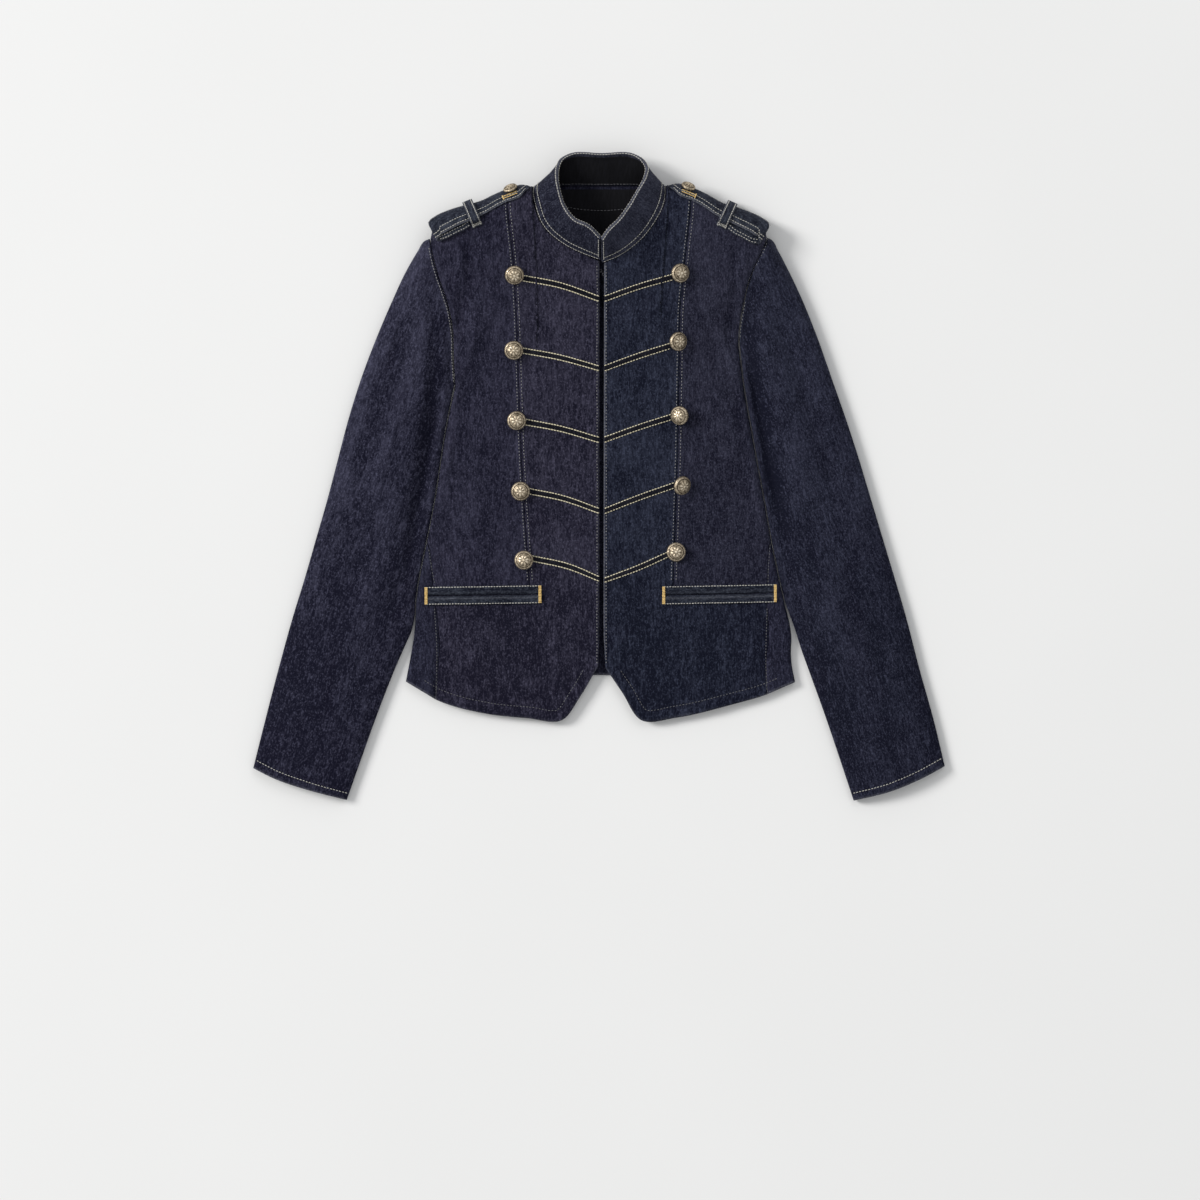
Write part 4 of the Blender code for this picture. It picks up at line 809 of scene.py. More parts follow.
def denim(name, dark, light, worn_and_highlight=(0.165, 0.17, 0.20), slub=1.0):
    """Indigo twill: slubs down the warp, pale weft specks, cloudy dye and edges rubbed pale; the tone attribute also
    brings painted shade and painted light along creases, and the wear attribute a painted highlight on an edge.
    """
    m, t, b = nodes_of(name)
    attribute = add(t, 'ShaderNodeAttribute', attribute_name='weave', attribute_type='GEOMETRY')
    v = attribute.outputs['Vector']
    tone = add(t, 'ShaderNodeAttribute', attribute_name='tone', attribute_type='GEOMETRY').outputs['Fac']
    wear = add(t, 'ShaderNodeAttribute', attribute_name='wear', attribute_type='GEOMETRY').outputs['Fac']
    streak = noise_at(t, scaled(t, v, 640, 170), 3.0, 0.62)
    slubs = noise_at(t, scaled(t, v, 300, 62), 2.0, 0.5)
    speck = noise_at(t, scaled(t, v, 620, 430), 2.0, 0.7)
    cloud = noise_at(t, scaled(t, v, 26, 15), 3.0, 0.55)
    patch_ = noise_at(t, scaled(t, v, 110, 48), 2.0, 0.6)
    a = ranged(t, streak, 0.40, 0.70, 0.0, 0.44 * slub)
    c = ranged(t, slubs, 0.52, 0.74, 0.0, 0.38 * slub)
    d = ranged(t, speck, 0.51, 0.72, 0.0, 0.86)
    e = ranged(t, cloud, 0.30, 0.70, -0.09, 0.11)
    f = ranged(t, patch_, 0.34, 0.70, -0.08, 0.12)
    fac = calc(t, 'ADD', calc(t, 'ADD', calc(t, 'ADD', a, c), calc(t, 'ADD', d, e)), calc(t, 'ADD', f, tone), clamp=True)
    colour = blended(t, fac, dark, light)
    # mix towards the pale colour where the wear attribute is set: real wear, and a painted highlight on the right
    # front's centre edge
    rub = calc(t, 'MULTIPLY', wear, ranged(t, speck, 0.34, 0.62, 0.35, 1.0), clamp=True)
    colour = blended(t, rub, colour, worn_and_highlight)
    link(t, colour, b.inputs['Base Color'])
    twill = add(t, 'ShaderNodeTexWave', wave_type='BANDS', bands_direction='X', wave_profile='SIN')
    twill.inputs['Scale'].default_value = 1.0
    twill.inputs['Distortion'].default_value = 1.2
    twill.inputs['Detail'].default_value = 1.0
    twill.inputs['Detail Scale'].default_value = 1.5
    link(t, scaled(t, v, 240, 240, 1.0, math.radians(-62)), twill.inputs['Vector'])
    height = calc(t, 'ADD', calc(t, 'MULTIPLY', twill.outputs['Fac'], 0.45),
                  calc(t, 'ADD', calc(t, 'MULTIPLY', speck, 0.7), calc(t, 'MULTIPLY', streak, 0.6)))
    bump = add(t, 'ShaderNodeBump')
    bump.inputs['Strength'].default_value = 0.55
    bump.inputs['Distance'].default_value = 0.0006
    link(t, height, bump.inputs['Height'])
    link(t, bump.outputs['Normal'], b.inputs['Normal'])
    link(t, ranged(t, streak, 0.3, 0.7, 0.86, 0.74), b.inputs['Roughness'])
    b.inputs['Specular IOR Level'].default_value = 0.09
    b.inputs['Sheen Weight'].default_value = 0.055
    b.inputs['Sheen Roughness'].default_value = 0.42
    b.inputs['Sheen Tint'].default_value = (0.62, 0.68, 1.0, 1.0)
    return m


def black_cloth(name):
    m, t, b = nodes_of(name)
    v = add(t, 'ShaderNodeAttribute', attribute_name='weave', attribute_type='GEOMETRY').outputs['Vector']
    rib = noise_at(t, scaled(t, v, 700, 90), 2.0, 0.6)
    colour = blended(t, ranged(t, rib, 0.35, 0.7), (0.0022, 0.0022, 0.0034), (0.0060, 0.0060, 0.0085))
    link(t, colour, b.inputs['Base Color'])
    bump = add(t, 'ShaderNodeBump')
    bump.inputs['Strength'].default_value = 0.4
    bump.inputs['Distance'].default_value = 0.0004
    link(t, rib, bump.inputs['Height'])
    link(t, bump.outputs['Normal'], b.inputs['Normal'])
    b.inputs['Roughness'].default_value = 0.86
    b.inputs['Specular IOR Level'].default_value = 0.18
    return m


def thread_finish(name, low, high, rough=0.68):
    m, t, b = nodes_of(name)
    v = add(t, 'ShaderNodeAttribute', attribute_name='weave', attribute_type='GEOMETRY').outputs['Vector']
    tone = add(t, 'ShaderNodeAttribute', attribute_name='tone', attribute_type='GEOMETRY').outputs['Fac']
    ply = add(t, 'ShaderNodeTexWave', wave_type='BANDS', bands_direction='X', wave_profile='SIN')
    ply.inputs['Scale'].default_value = 1.0
    ply.inputs['Distortion'].default_value = 0.6
    link(t, scaled(t, v, 380, 380, 380, 0.7), ply.inputs['Vector'])
    fuzz = noise_at(t, scaled(t, v, 900, 900, 900), 2.0, 0.6)
    fac = calc(t, 'ADD', calc(t, 'MULTIPLY', ply.outputs['Fac'], 0.35), calc(t, 'ADD', calc(t, 'MULTIPLY', fuzz, 0.35), tone), clamp=True)
    link(t, blended(t, fac, low, high), b.inputs['Base Color'])
    bump = add(t, 'ShaderNodeBump')
    bump.inputs['Strength'].default_value = 0.5
    bump.inputs['Distance'].default_value = 0.0003
    link(t, ply.outputs['Fac'], bump.inputs['Height'])
    link(t, bump.outputs['Normal'], b.inputs['Normal'])
    b.inputs['Roughness'].default_value = rough
    b.inputs['Specular IOR Level'].default_value = 0.3
    return m


def antique_metal(name, shadow, metal, rub):
    m, t, b = nodes_of(name)
    wear = add(t, 'ShaderNodeAttribute', attribute_name='wear', attribute_type='GEOMETRY').outputs['Fac']
    v = add(t, 'ShaderNodeTexCoord').outputs['Object']
    mottle = noise_at(t, scaled(t, v, 420, 420, 420), 3.0, 0.62)
    fine = noise_at(t, scaled(t, v, 1500, 1500, 1500), 2.0, 0.6)
    level = calc(t, 'ADD', wear, ranged(t, mottle, 0.3, 0.7, -0.28, 0.28), clamp=True)
    colour = blended(t, ranged(t, level, 0.06, 0.62), shadow, metal)
    colour = blended(t, ranged(t, level, 0.62, 1.0), colour, rub)
    link(t, colour, b.inputs['Base Color'])
    b.inputs['Metallic'].default_value = 0.85
    link(t, ranged(t, level, 0.1, 0.9, 0.62, 0.34), b.inputs['Roughness'])
    bump = add(t, 'ShaderNodeBump')
    bump.inputs['Strength'].default_value = 0.35
    bump.inputs['Distance'].default_value = 0.0002
    link(t, fine, bump.inputs['Height'])
    link(t, bump.outputs['Normal'], b.inputs['Normal'])
    return m


DARK, LIGHT = (0.0036, 0.0038, 0.0118), (0.040, 0.041, 0.070)
FINISH = {
    'centre_L': denim('denim_centre_left', (0.0050, 0.0046, 0.0130), (0.054, 0.051, 0.082)),
    'centre_R': denim('denim_centre_right', (0.0026, 0.0036, 0.0110), (0.036, 0.042, 0.070)),
    'side_L': denim('denim_side_left', (0.0038, 0.0037, 0.0118), (0.044, 0.043, 0.073)),
    'side_R': denim('denim_side_right', (0.0038, 0.0040, 0.0118), (0.044, 0.045, 0.073)),
    'sleeve_L': denim('denim_sleeve_left', (0.0040, 0.0040, 0.0125), (0.052, 0.052, 0.086)),
    'sleeve_R': denim('denim_sleeve_right', (0.0030, 0.0036, 0.0110), (0.040, 0.043, 0.072)),
    'back': denim('denim_back', DARK, LIGHT),
    'collar': denim('denim_collar', (0.0046, 0.0050, 0.0125), (0.052, 0.056, 0.084)),
    'strap': denim('denim_strap', (0.0040, 0.0052, 0.0115), (0.046, 0.053, 0.073)),
    'band': denim('denim_chevron_band', (0.0028, 0.0028, 0.0062), (0.018, 0.018, 0.026), slub=0.6),
    'facing': black_cloth('black_facing'),
    'ecru': thread_finish('ecru_thread', (0.30, 0.29, 0.265), (0.60, 0.585, 0.54)),
    'grey': thread_finish('grey_thread', (0.16, 0.16, 0.165), (0.37, 0.365, 0.36)),
    # dark thread, which also stands as painted shade for the rows deep inside the neck
    'dim': thread_finish('dark_and_shaded_thread', (0.05, 0.05, 0.06), (0.16, 0.16, 0.17)),
    'khaki': thread_finish('khaki_thread', (0.50, 0.45, 0.29), (0.86, 0.80, 0.60)),
    'gold': thread_finish('gold_thread', (0.52, 0.33, 0.10), (0.88, 0.66, 0.30)),
    'brass': antique_metal('antique_brass', (0.06, 0.045, 0.03), (0.56, 0.465, 0.335), (0.88, 0.79, 0.64)),
    'steel': antique_metal('nickel_wire', (0.10, 0.10, 0.11), (0.42, 0.42, 0.44), (0.7, 0.7, 0.72)),
}


# ---------------------------------------------------------------- threads
def stitches(points, normals, pitch=3.0, dash=2.1, wide=0.75, rise=0.28, seed=1, wander=0.12, sink=0.22):
    """Thread dashes along a path in metres: (vertices, faces, tone)."""
    points, normals = np.asarray(points, float), np.asarray(normals, float)
    s = np.concatenate([[0], np.cumsum(np.linalg.norm(np.diff(points, axis=0), axis=1))]) / MM
    count = max(int(s[-1] / pitch), 1)
    rng = np.random.RandomState(seed)
    start = (np.arange(count) + 0.5) * s[-1] / count - dash / 2 + rng.uniform(-0.12, 0.12, count)
    t = np.array([0.0, 0.16, 0.5, 0.84, 1.0])
    at = start[:, None] + dash * t[None, :] * (1 + rng.uniform(-0.08, 0.08, count))[:, None]

    def read(q, values):
        return np.stack([np.interp(q, s, values[:, k]) for k in range(3)], -1)

    p, n = read(at, points), read(at, normals)
    n /= np.linalg.norm(n, axis=-1, keepdims=True)
    d = read(at + 0.4, points) - read(at - 0.4, points)
    d /= np.linalg.norm(d, axis=-1, keepdims=True) + 1e-12
    side = np.cross(d, n)
    side /= np.linalg.norm(side, axis=-1, keepdims=True) + 1e-12
    lift = np.array([-sink, rise * 0.75, rise, rise * 0.75, -sink])
    shift = rng.uniform(-wander, wander, count)
    centre = p + n * (lift * MM)[None, :, None] + side * (shift * MM)[:, None, None]
    a = np.linspace(0, 2 * math.pi, 6, endpoint=False)
    size = wide / 2 * MM * np.array([0.62, 0.95, 1.05, 0.95, 0.62])
    ring = (side[:, :, None] * np.cos(a)[None, None, :, None] + n[:, :, None] * (0.72 * np.sin(a))[None, None, :, None])
    v = centre[:, :, None] + ring * size[None, :, None, None]
    k = len(t)
    base = np.arange(count)[:, None, None] * k * 6
    i, j = np.meshgrid(np.arange(k - 1), np.arange(6), indexing='ij')
    jj = (j + 1) % 6
    quads = np.stack([i * 6 + j, i * 6 + jj, (i + 1) * 6 + jj, (i + 1) * 6 + j], -1).reshape(1, -1, 4) + base
    caps = np.array([[0, 3, 2, 1], [0, 5, 4, 3]])
    end = (k - 1) * 6 + np.array([[0, 1, 2, 3], [0, 3, 4, 5]])
    ends = np.concatenate([caps, end])[None] + base
    faces = np.concatenate([quads.reshape(-1, 4), ends.reshape(-1, 4)])
    tone = np.repeat(rng.uniform(-0.05, 0.30, count), k * 6)
    return v.reshape(-1, 3), faces, tone


class Threads:
    """Rows of stitches gathered into one mesh."""

    def __init__(self, name, finish):
        self.name, self.finish, self.parts, self.seed = name, finish, [], 11

    def row(self, spot, **values):
        points, normals = spot
        self.seed += 7
        self.parts.append(stitches(points, normals, seed=self.seed, **values))

    def build(self):
        verts, faces, tone, base = [], [], [], 0
        for v, f, c in self.parts:
            verts.append(v)
            faces.append(f + base)
            tone.append(c)
            base += len(v)
        verts, faces = np.concatenate(verts), np.concatenate(faces)
        ob = mesh_object(self.name, verts, faces, FINISH[self.finish], tone=np.concatenate(tone))
        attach(ob, 'root')
        return ob


def offset_line(line, off):
    """A dense plan line moved sideways by off units (plus is to the right going down)."""
    d = np.gradient(line, axis=0)
    d /= np.linalg.norm(d, axis=1, keepdims=True)
    return line + np.stack([d[:, 1], -d[:, 0]], 1) * off


def cut_line(line, lo, hi):
    """The stretch of a dense line between two shares."""
    seg = np.linalg.norm(np.diff(line, axis=0), axis=1)
    s = np.concatenate([[0], np.cumsum(seg)])
    q = np.linspace(lo, hi, 90) * s[-1]
    return np.stack([np.interp(q, s, line[:, k]) for k in range(line.shape[1])], -1)


ECRU = Threads('stitches_ecru', 'ecru')
GREY = Threads('stitches_grey', 'grey')
# the dark thread mesh also holds rows painted dark as shade deep inside the neck
DIM = Threads('stitches_dark_and_shaded', 'dim')
KHAKI = Threads('stitches_khaki', 'khaki')
GOLD = Threads('bartacks_gold', 'gold')


# ---------------------------------------------------------------- fronts
def plan_weave(x, y, seed, turn=0.0, cx=600.0, cy=450.0):
    """Cloth coordinates in metres: across the warp, along it."""
    c, s = math.cos(turn), math.sin(turn)
    dx, dy = (x - cx) * UNIT * MM, (y - cy) * UNIT * MM
    return np.stack([dx * c + dy * s + seed, -dx * s + dy * c, np.full(np.shape(x), seed)], -1)


def front_look(x, y):
    """Tone and wear of the fronts: seam, hem and edge wear; painted shade in the creases' troughs and painted light on
    their ridges; a painted highlight on the right front's centre edge; darker towards the hem and paler at the upper
    right.
    """
    tone = np.zeros(x.shape)
    wear = np.zeros(x.shape)
    for key in 'LR':
        d = nearest(x, y, PRINCESS[key])[0] * UNIT
        m = y < 590
        tone += np.where(m, -0.10 * np.exp(-(d / 1.0)**2) + 0.06 * np.exp(-((d - 4.6) / 1.4)**2), 0)
        d = nearest(x, y, HEM_LINE[key])[0] * UNIT
        wear += 0.42 * np.exp(-(d / 1.1)**2) * (0.6 + 0.4 * lattice(x, y, 8, 8, 40))
        tone += 0.10 * np.exp(-((d - 9.0) / 3.0)**2) * (0.5 + lattice(x, y, 10, 8, 41)) - 0.08 * np.exp(-((d - 12.2) / 1.2)**2)
        d = nearest(x, y, ARMHOLE_LINE[key])[0] * UNIT
        tone += 0.08 * np.exp(-((d - 3.4) / 2.0)**2) - 0.05 * np.exp(-(d / 1.1)**2)
    edge = np.where(x < 601.5, 599.3 - x, x - 603.9) * UNIT
    # painted highlight: the right front's centre edge faces the light and takes 0.75 of the pale colour, against 0.22
    # of edge wear on the left front
    wear += np.where((x > 601.5) & (y < 668), 0.75, 0.22) * np.exp(-(edge / 0.9)**2) * (y < 668)
    # painted shade in the creases' troughs and painted light on their ridges, taken from the crease heights
    fold = creased(x.ravel(), y.ravel(), FRONT_CREASES).reshape(x.shape)
    tone += 0.085 * np.clip(fold, -2.0, 2.0) + 0.07 * lattice(x, y, 30, 40, 44) - 0.17 * smoothstep((y - 560) / 90)
    tone += 0.14 * smoothstep((x - 650) / 50) * smoothstep((345 - y) / 60)
    for x0, x1 in ((583, 599), (607, 618)):      # paler rubbed patches just under the collar
        tone += 0.16 * band(abs(x - (x0 + x1) / 2), (x1 - x0) / 2, 5) * band(abs(y - 274), 7.5, 6)
    return tone, wear


def make_fronts(key):
    s = SIDES[key]
    sign = s['sign']
    plan = front_grid(key)
    nc, nr = len(COLS_CENTRE) - 1, len(ROWS_UP) - 1
    rows, cols = plan.shape[:2]
    gap = SEAM * 0.5 / UNIT
    i, j = np.meshgrid(np.arange(rows - 1), np.arange(cols - 1), indexing='ij')
    centre_faces = (j < nc) | (i >= nr)
    for part, keep in (('front_centre_', centre_faces), ('front_side_', ~centre_faces)):
        p = plan.copy()
        toward_front = -sign * gap
        if part == 'front_centre_':
            p[:nr, nc, 0] += toward_front
            p[nr, nc + 1:, 1] += gap
            c = np.array([600.0, 215.0])
            neck = int(np.argmin(abs(COLS_CENTRE - 5 / 6)))
            out = p[0, :neck + 1] - c
            p[0, :neck + 1] += out / np.linalg.norm(out, axis=1)[:, None] * 0.3
        else:
            p[:nr + 1, nc, 0] -= toward_front
            p[nr, nc:, 1] -= gap
            p[:ARMPIT_ROW + 1, -1, 0] += toward_front
        z = front_top(p[..., 0], p[..., 1])
        # below the armpits the last columns turn down round the side fold
        seam = side_seam(key, p[:, -1, 1])
        fold = (seam < 0.5) & (np.arange(rows) >= ARMPIT_ROW)
        share = COLS_SIDE
        first = nc
        at90, at78 = int(np.argmin(abs(share - 0.90))), int(np.argmin(abs(share - 0.78)))
        for r in np.nonzero(fold)[0]:
            y = p[r, first + at90:, 1]
            arc = np.interp(share[at90:], [0.90, 0.965, 1.0], [5.0, 2.2, SEAM + 0.3])
            rad = side_height(y) / 2
            turn = arc / rad
            x_new = edge_x(key, y) - sign * rad * (1 - np.cos(turn)) / UNIT
            shift = x_new[0] - p[r, first + at90, 0]
            ramp = (share[at78:at90] - 0.78) / 0.12
            p[r, first + at78:first + at90, 0] += shift * ramp
            p[r, first + at90:, 0] = x_new
            z[r, first + at90:] = rad * (1 + np.sin(turn))
        if fold.any():
            mid = slice(first + at78, first + at90)
            z[np.ix_(fold, range(mid.start, mid.stop))] = front_top(p[np.ix_(fold, range(mid.start, mid.stop))][..., 0],
                                                                    p[np.ix_(fold, range(mid.start, mid.stop))][..., 1])
        tone, wear = front_look(p[..., 0], p[..., 1])
        flat_turn = 0.0 if part == 'front_centre_' else -sign * 0.03
        weave = plan_weave(p[..., 0], p[..., 1], {'L': 1.3, 'R': 2.7}[key] + (0.4 if 'side' in part else 0), flat_turn)
        shell('cloth_' + part + key, part + key, world(p[..., 0], p[..., 1], z), WALL,
              FINISH[('centre_' if 'centre' in part else 'side_') + key], keep=keep, face_way=(0, 0, 1), weave=weave,
              tone=tone, wear=wear)

    # double rows down the princess seam, to the pocket's top edge
    for off in (-STITCH_SIDE, STITCH_SIDE):
        line = cut_line(offset_line(PRINCESS[key], off), 0.012, 0.965)
        GREY.row(front_spot(line[:, 0], line[:, 1]), pitch=3.5, dash=1.7, wide=0.74)
    # centre front edge
    x = 597.1 if key == 'L' else 606.2
    y = np.linspace(266, 664, 120)
    GREY.row(front_spot(np.full(y.shape, x) + 0.25 * lattice(y, y, 30, 30, 50), y), pitch=3.4, dash=1.7, wide=0.70)
    # hem
    d = offset_line(HEM_LINE[key], 0)
    n = np.gradient(d, axis=0)
    n /= np.linalg.norm(n, axis=1, keepdims=True)
    n = np.stack([n[:, 1], -n[:, 0]], 1)
    if n[len(n) // 2, 1] > 0:
        n = -n
    line = cut_line(d + n * HEM_BAND, 0.05, 0.93)
    DIM.row(front_spot(line[:, 0], line[:, 1]), pitch=3.4, dash=2.3, wide=0.8)
    # armhole: on the sleeve's side at the left, on the body's at the right
    if key == 'R':
        line = cut_line(offset_line(ARMHOLE_LINE[key], 1.7), 0.05, 0.96)
        GREY.row(front_spot(line[:, 0], line[:, 1]), pitch=3.6, dash=1.7, wide=0.7)
    # side seam
    line = np.array({'L': ((429, 549), (432, 569), (435, 584)), 'R': ((770, 544), (768, 577), (768, 583))}[key], float)
    low = np.array({'L': ((434.6, 608), (437, 646), (436.3, 694)), 'R': ((767, 608), (765.6, 659), (766.6, 690))}[key], float)
    for part in (line, low):
        q = dense(part, 12)
        DIM.row(front_spot(q[:, 0], q[:, 1]), pitch=3.2, dash=2.1, wide=0.75)


def make_chevrons():
    """A dark raised band between two rows of heavy thread, ten times."""
    verts, faces, weave, base = [], [], [], 0
    for key, up, low in CHEVRON_LINES:
        a, b = cut_line(up, 0, 1), cut_line(low, 0, 1)
        n = 7
        w = np.linspace(-0.02, 1.02, n)
        x = a[:, None, 0] + (b[:, None, 0] - a[:, None, 0]) * w
        y = a[:, None, 1] + (b[:, None, 1] - a[:, None, 1]) * w
        puff = 0.45 * np.sin(math.pi * np.clip(w, 0, 1))**0.5
        top = front_top(x, y) + 0.10 + puff + 0.05 * lattice(x, y, 4, 4, 60)
        g = world(x, y, top)
        f = grid_faces(*g.shape[:2])
        verts.append(g.reshape(-1, 3))
        faces.append(f + base)
        weave.append(plan_weave(x, y, 4.4).reshape(-1, 3))
        base += g.shape[0] * g.shape[1]
        for line in (a, b):
            KHAKI.row(front_spot(line[:, 0], line[:, 1], 0.25), pitch=3.1, dash=2.85, wide=1.18, rise=0.42, wander=0.06)
    verts, faces = np.concatenate(verts), np.concatenate(faces)
    a, b, c, d = (verts[faces[:, k]] for k in range(4))
    if np.cross(c - a, d - b)[:, 2].sum() < 0:
        faces = faces[:, ::-1]
    ob = mesh_object('chevron_bands', verts, faces, FINISH['band'], weave=np.concatenate(weave))
    m = ob.modifiers.new('wall', 'SOLIDIFY')
    m.thickness, m.offset, m.use_rim = 0.5 * MM, -1, True
    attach(ob, 'root')


# ---------------------------------------------------------------- back
BACK_COLS = 104
BACK_ROWS_UP = tuple(np.linspace(0, 1, 52)[:-1])
BACK_ARMPIT = len(BACK_ROWS_UP)
FOLD_STEPS = 9


def back_grid():
    """Outer points of the back: flat under the fronts, rolled up round both sides below the armpits."""
    L, R = SIDES['L'], SIDES['R']
    cut = 0.36
    top = joined((Line(L['shoulder'][::-1]), 0, cut, 0, 1),
                 (Line((L['shoulder'][0], (545, 186.2), (600, 185.8), (654, 186.0), R['shoulder'][0])), cut, 1 - cut, 0, 1),
                 (Line(R['shoulder']), 1 - cut, 1, 0, 1))
    hem = Line((L['side'][-1], (500, 677), (600, 675), (700, 677.5), R['side'][-1]))
    below = {k: side_rows(k) for k in 'LR'}
    n_low = len(below['L'][0])
    rows = np.concatenate([np.array(BACK_ROWS_UP) * 0.42, 0.42 + 0.58 * np.linspace(0, 1, n_low)])

    def side_line(key):
        s = SIDES[key]
        up = Line(s['armhole']).at(np.array(BACK_ROWS_UP))
        down = below[key][0].copy()
        down[:, 0] -= s['sign'] * side_height(down[:, 1]) / 2 / UNIT
        points = np.concatenate([up, down])

        def at(share):
            return np.stack([np.interp(share, rows, points[:, k]) for k in (0, 1)], -1)
        return at

    left, right = side_line('L'), side_line('R')

    def bottom(c):
        p0, p1 = left(np.ones(1))[0], right(np.ones(1))[0]
        a, b = hem.share_of(*p0), hem.share_of(*p1)
        q = hem.at(a + (b - a) * np.asarray(c, float))
        q = np.where(np.asarray(c)[..., None] <= 0, p0, q)
        return np.where(np.asarray(c)[..., None] >= 1, p1, q)

    c = np.linspace(0, 1, BACK_COLS + 1)
    flat = patch(top, bottom, left, right, c[None, :], rows[:, None])
    m, wide = len(rows), FOLD_STEPS
    X = np.zeros((m, BACK_COLS + 1 + 2 * wide))
    Y, Z = np.zeros_like(X), np.zeros_like(X)
    X[:, wide:wide + BACK_COLS + 1], Y[:, wide:wide + BACK_COLS + 1] = flat[..., 0], flat[..., 1]
    over = np.zeros(X.shape, bool)
    for key in 'LR':
        s = SIDES[key]
        fold, seam_line = below[key]
        for i in range(BACK_ARMPIT, m):
            (x0, y0), (x1, y1) = fold[i - BACK_ARMPIT], seam_line[i - BACK_ARMPIT]
            r = float(side_height(y0)) / 2
            seam = abs(x1 - x0) * UNIT
            start = np.linspace(0, r * math.pi / 2 - SEAM - 0.1, wide + 1)
            on_fold = np.linspace(0, math.pi * r, wide - 2)
            tail = math.pi * r + max(seam - r, 0.6) - SEAM - 0.1
            reach = np.concatenate([on_fold, np.linspace(math.pi * r, tail, 4)[1:]])
            w = float(smoothstep(seam / (r + 1.5)))
            run = start * (1 - w) + reach * w
            for k in range(1, wide + 1):
                q = run[k]
                j = wide - k if key == 'L' else wide + BACK_COLS + k
                if q <= math.pi * r:
                    d, Z[i, j] = r * (1 - math.sin(q / r)), r * (1 - math.cos(q / r))
                else:
                    d = r + q - math.pi * r
                    over[i, j] = True
                X[i, j] = x0 - s['sign'] * d / UNIT
                Y[i, j] = y0 + ((y1 - y0) * min(d / max(seam, 1.0), 1.0) if q > math.pi * r / 2 else 0)
    Z[over] = front_top(X[over], Y[over])
    for grid in (X, Y, Z):              # nothing wraps above the armpits
        grid[:BACK_ARMPIT, :wide] = grid[:BACK_ARMPIT, wide:wide + 1]
        grid[:BACK_ARMPIT, wide + BACK_COLS + 1:] = grid[:BACK_ARMPIT, wide + BACK_COLS:wide + BACK_COLS + 1]
    return X, Y, Z


def make_back():
    X, Y, Z = back_grid()
    m, n = X.shape
    i, j = np.meshgrid(np.arange(m - 1), np.arange(n - 1), indexing='ij')
    keep = ((j >= FOLD_STEPS) & (j < FOLD_STEPS + BACK_COLS)) | (i >= BACK_ARMPIT)
    # where the back lies on the surface it only hollows upward
    flat = Z < 0.05
    inside = smoothstep((X - 470) / 30) * smoothstep((730 - X) / 30) * smoothstep((Y - 215) / 30) * smoothstep((655 - Y) / 30)
    hollow = np.clip(0.5 + lattice(X, Y, 60, 90, 70), 0, 1)**2 * 1.1
    hollow += np.clip(creased(X.ravel(), Y.ravel(), (
        (((560, 300), (590, 420), (575, 560)), 0.9, 12), (((640, 280), (625, 400), (640, 540)), 0.8, 14),
        (((510, 380), (540, 470), (520, 600)), 0.7, 10), (((690, 400), (670, 500), (690, 610)), 0.8, 11),
        (((530, 240), (600, 262), (670, 240)), 0.7, 9))).reshape(X.shape), 0, 2)
    Z = Z + np.where(flat, hollow * inside, 0)
    wear = np.zeros(X.shape)
    wear[-2:, :] = 0.35
    tone = 0.06 * lattice(X, Y, 30, 50, 71)
    shell('cloth_back', 'back', world(X, Y, Z), WALL, FINISH['back'], keep=keep, face_way=(0, 0, -1),
          weave=plan_weave(X, Y, 5.1), tone=tone, wear=wear)


def make_back_facing():
    t, c = np.linspace(0, 1, 34)[:, None], np.linspace(-1, 1, 80)[None, :]
    x = 600 + c * (58 - 5 * t)
    y = 189.6 + t * (48 - 8 * ((x - 600) / 60)**2) + 0 * c
    z = WALL + 0.3 + 0.25 + 0.2 * lattice(x, y, 14, 11, 75) + 0.35 * np.exp(-((t * 48 - 19) / 5.0)**2) + 0 * c
    shell('cloth_back_neck_facing', 'back_neck_facing', world(x, y, z), 0.7, FINISH['facing'], face_way=(0, 0, 1),
          inward=False, weave=plan_weave(x, y, 6.2))
    # painted shade: these stitches take the dark thread because they lie deep in the neck's shadow
    q = dense(((566, 207.4), (583, 209.8), (600, 210.8), (624, 209.6)), 14)
    spot = world(q[:, 0], q[:, 1], WALL + 1.6), np.tile([0.0, 0.0, 1.0], (len(q), 1))
    DIM.row(spot, pitch=3.6, dash=2.8, wide=0.75)


# ---------------------------------------------------------------- sleeves
SLEEVE_TILT = {'L': 0.275, 'R': -0.275}


def sleeve_top(key, u, v):
    """Plan points and finished height of the sleeve's upper side."""
    p, z = sleeve_surface(key, u, v, True)
    x, y = p[..., 0], p[..., 1]
    u, v = np.broadcast_arrays(np.asarray(u, float), np.asarray(v, float))
    calm = smoothstep(np.minimum(u, 1 - u) / 0.055)
    start = smoothstep(v / 0.05)
    more = creased(x.ravel(), y.ravel(), SLEEVE_CREASES[key]).reshape(x.shape)
    more = more + 0.35 * lattice(x, y, 24, 60, 80) + 0.18 * lattice(x, y, 10, 22, 81) + 0.05 * lattice(x, y, 4, 5, 82)
    to_cuff = (1 - v) * 560 * UNIT
    more = more * smoothstep(to_cuff / 30 + 0.35)
    more = more + 0.5 * band(to_cuff, 9.0, 1.5) - 0.35 * np.exp(-((to_cuff - 9.6) / 1.2)**2)
    more = more + 0.30 * lattice(x + y, y, 6, 9, 83) * np.exp(-((to_cuff - 4.5) / 5.0)**2)
    seam = v * 560 * UNIT
    lead = -0.5 * np.exp(-(seam / 1.3)**2) + 0.5 * np.exp(-((seam - 4.2) / 2.4)**2) * (1 + 0.7 * lattice(y, x, 8, 9, 84))
    return p, z + more * calm * start + lead * calm


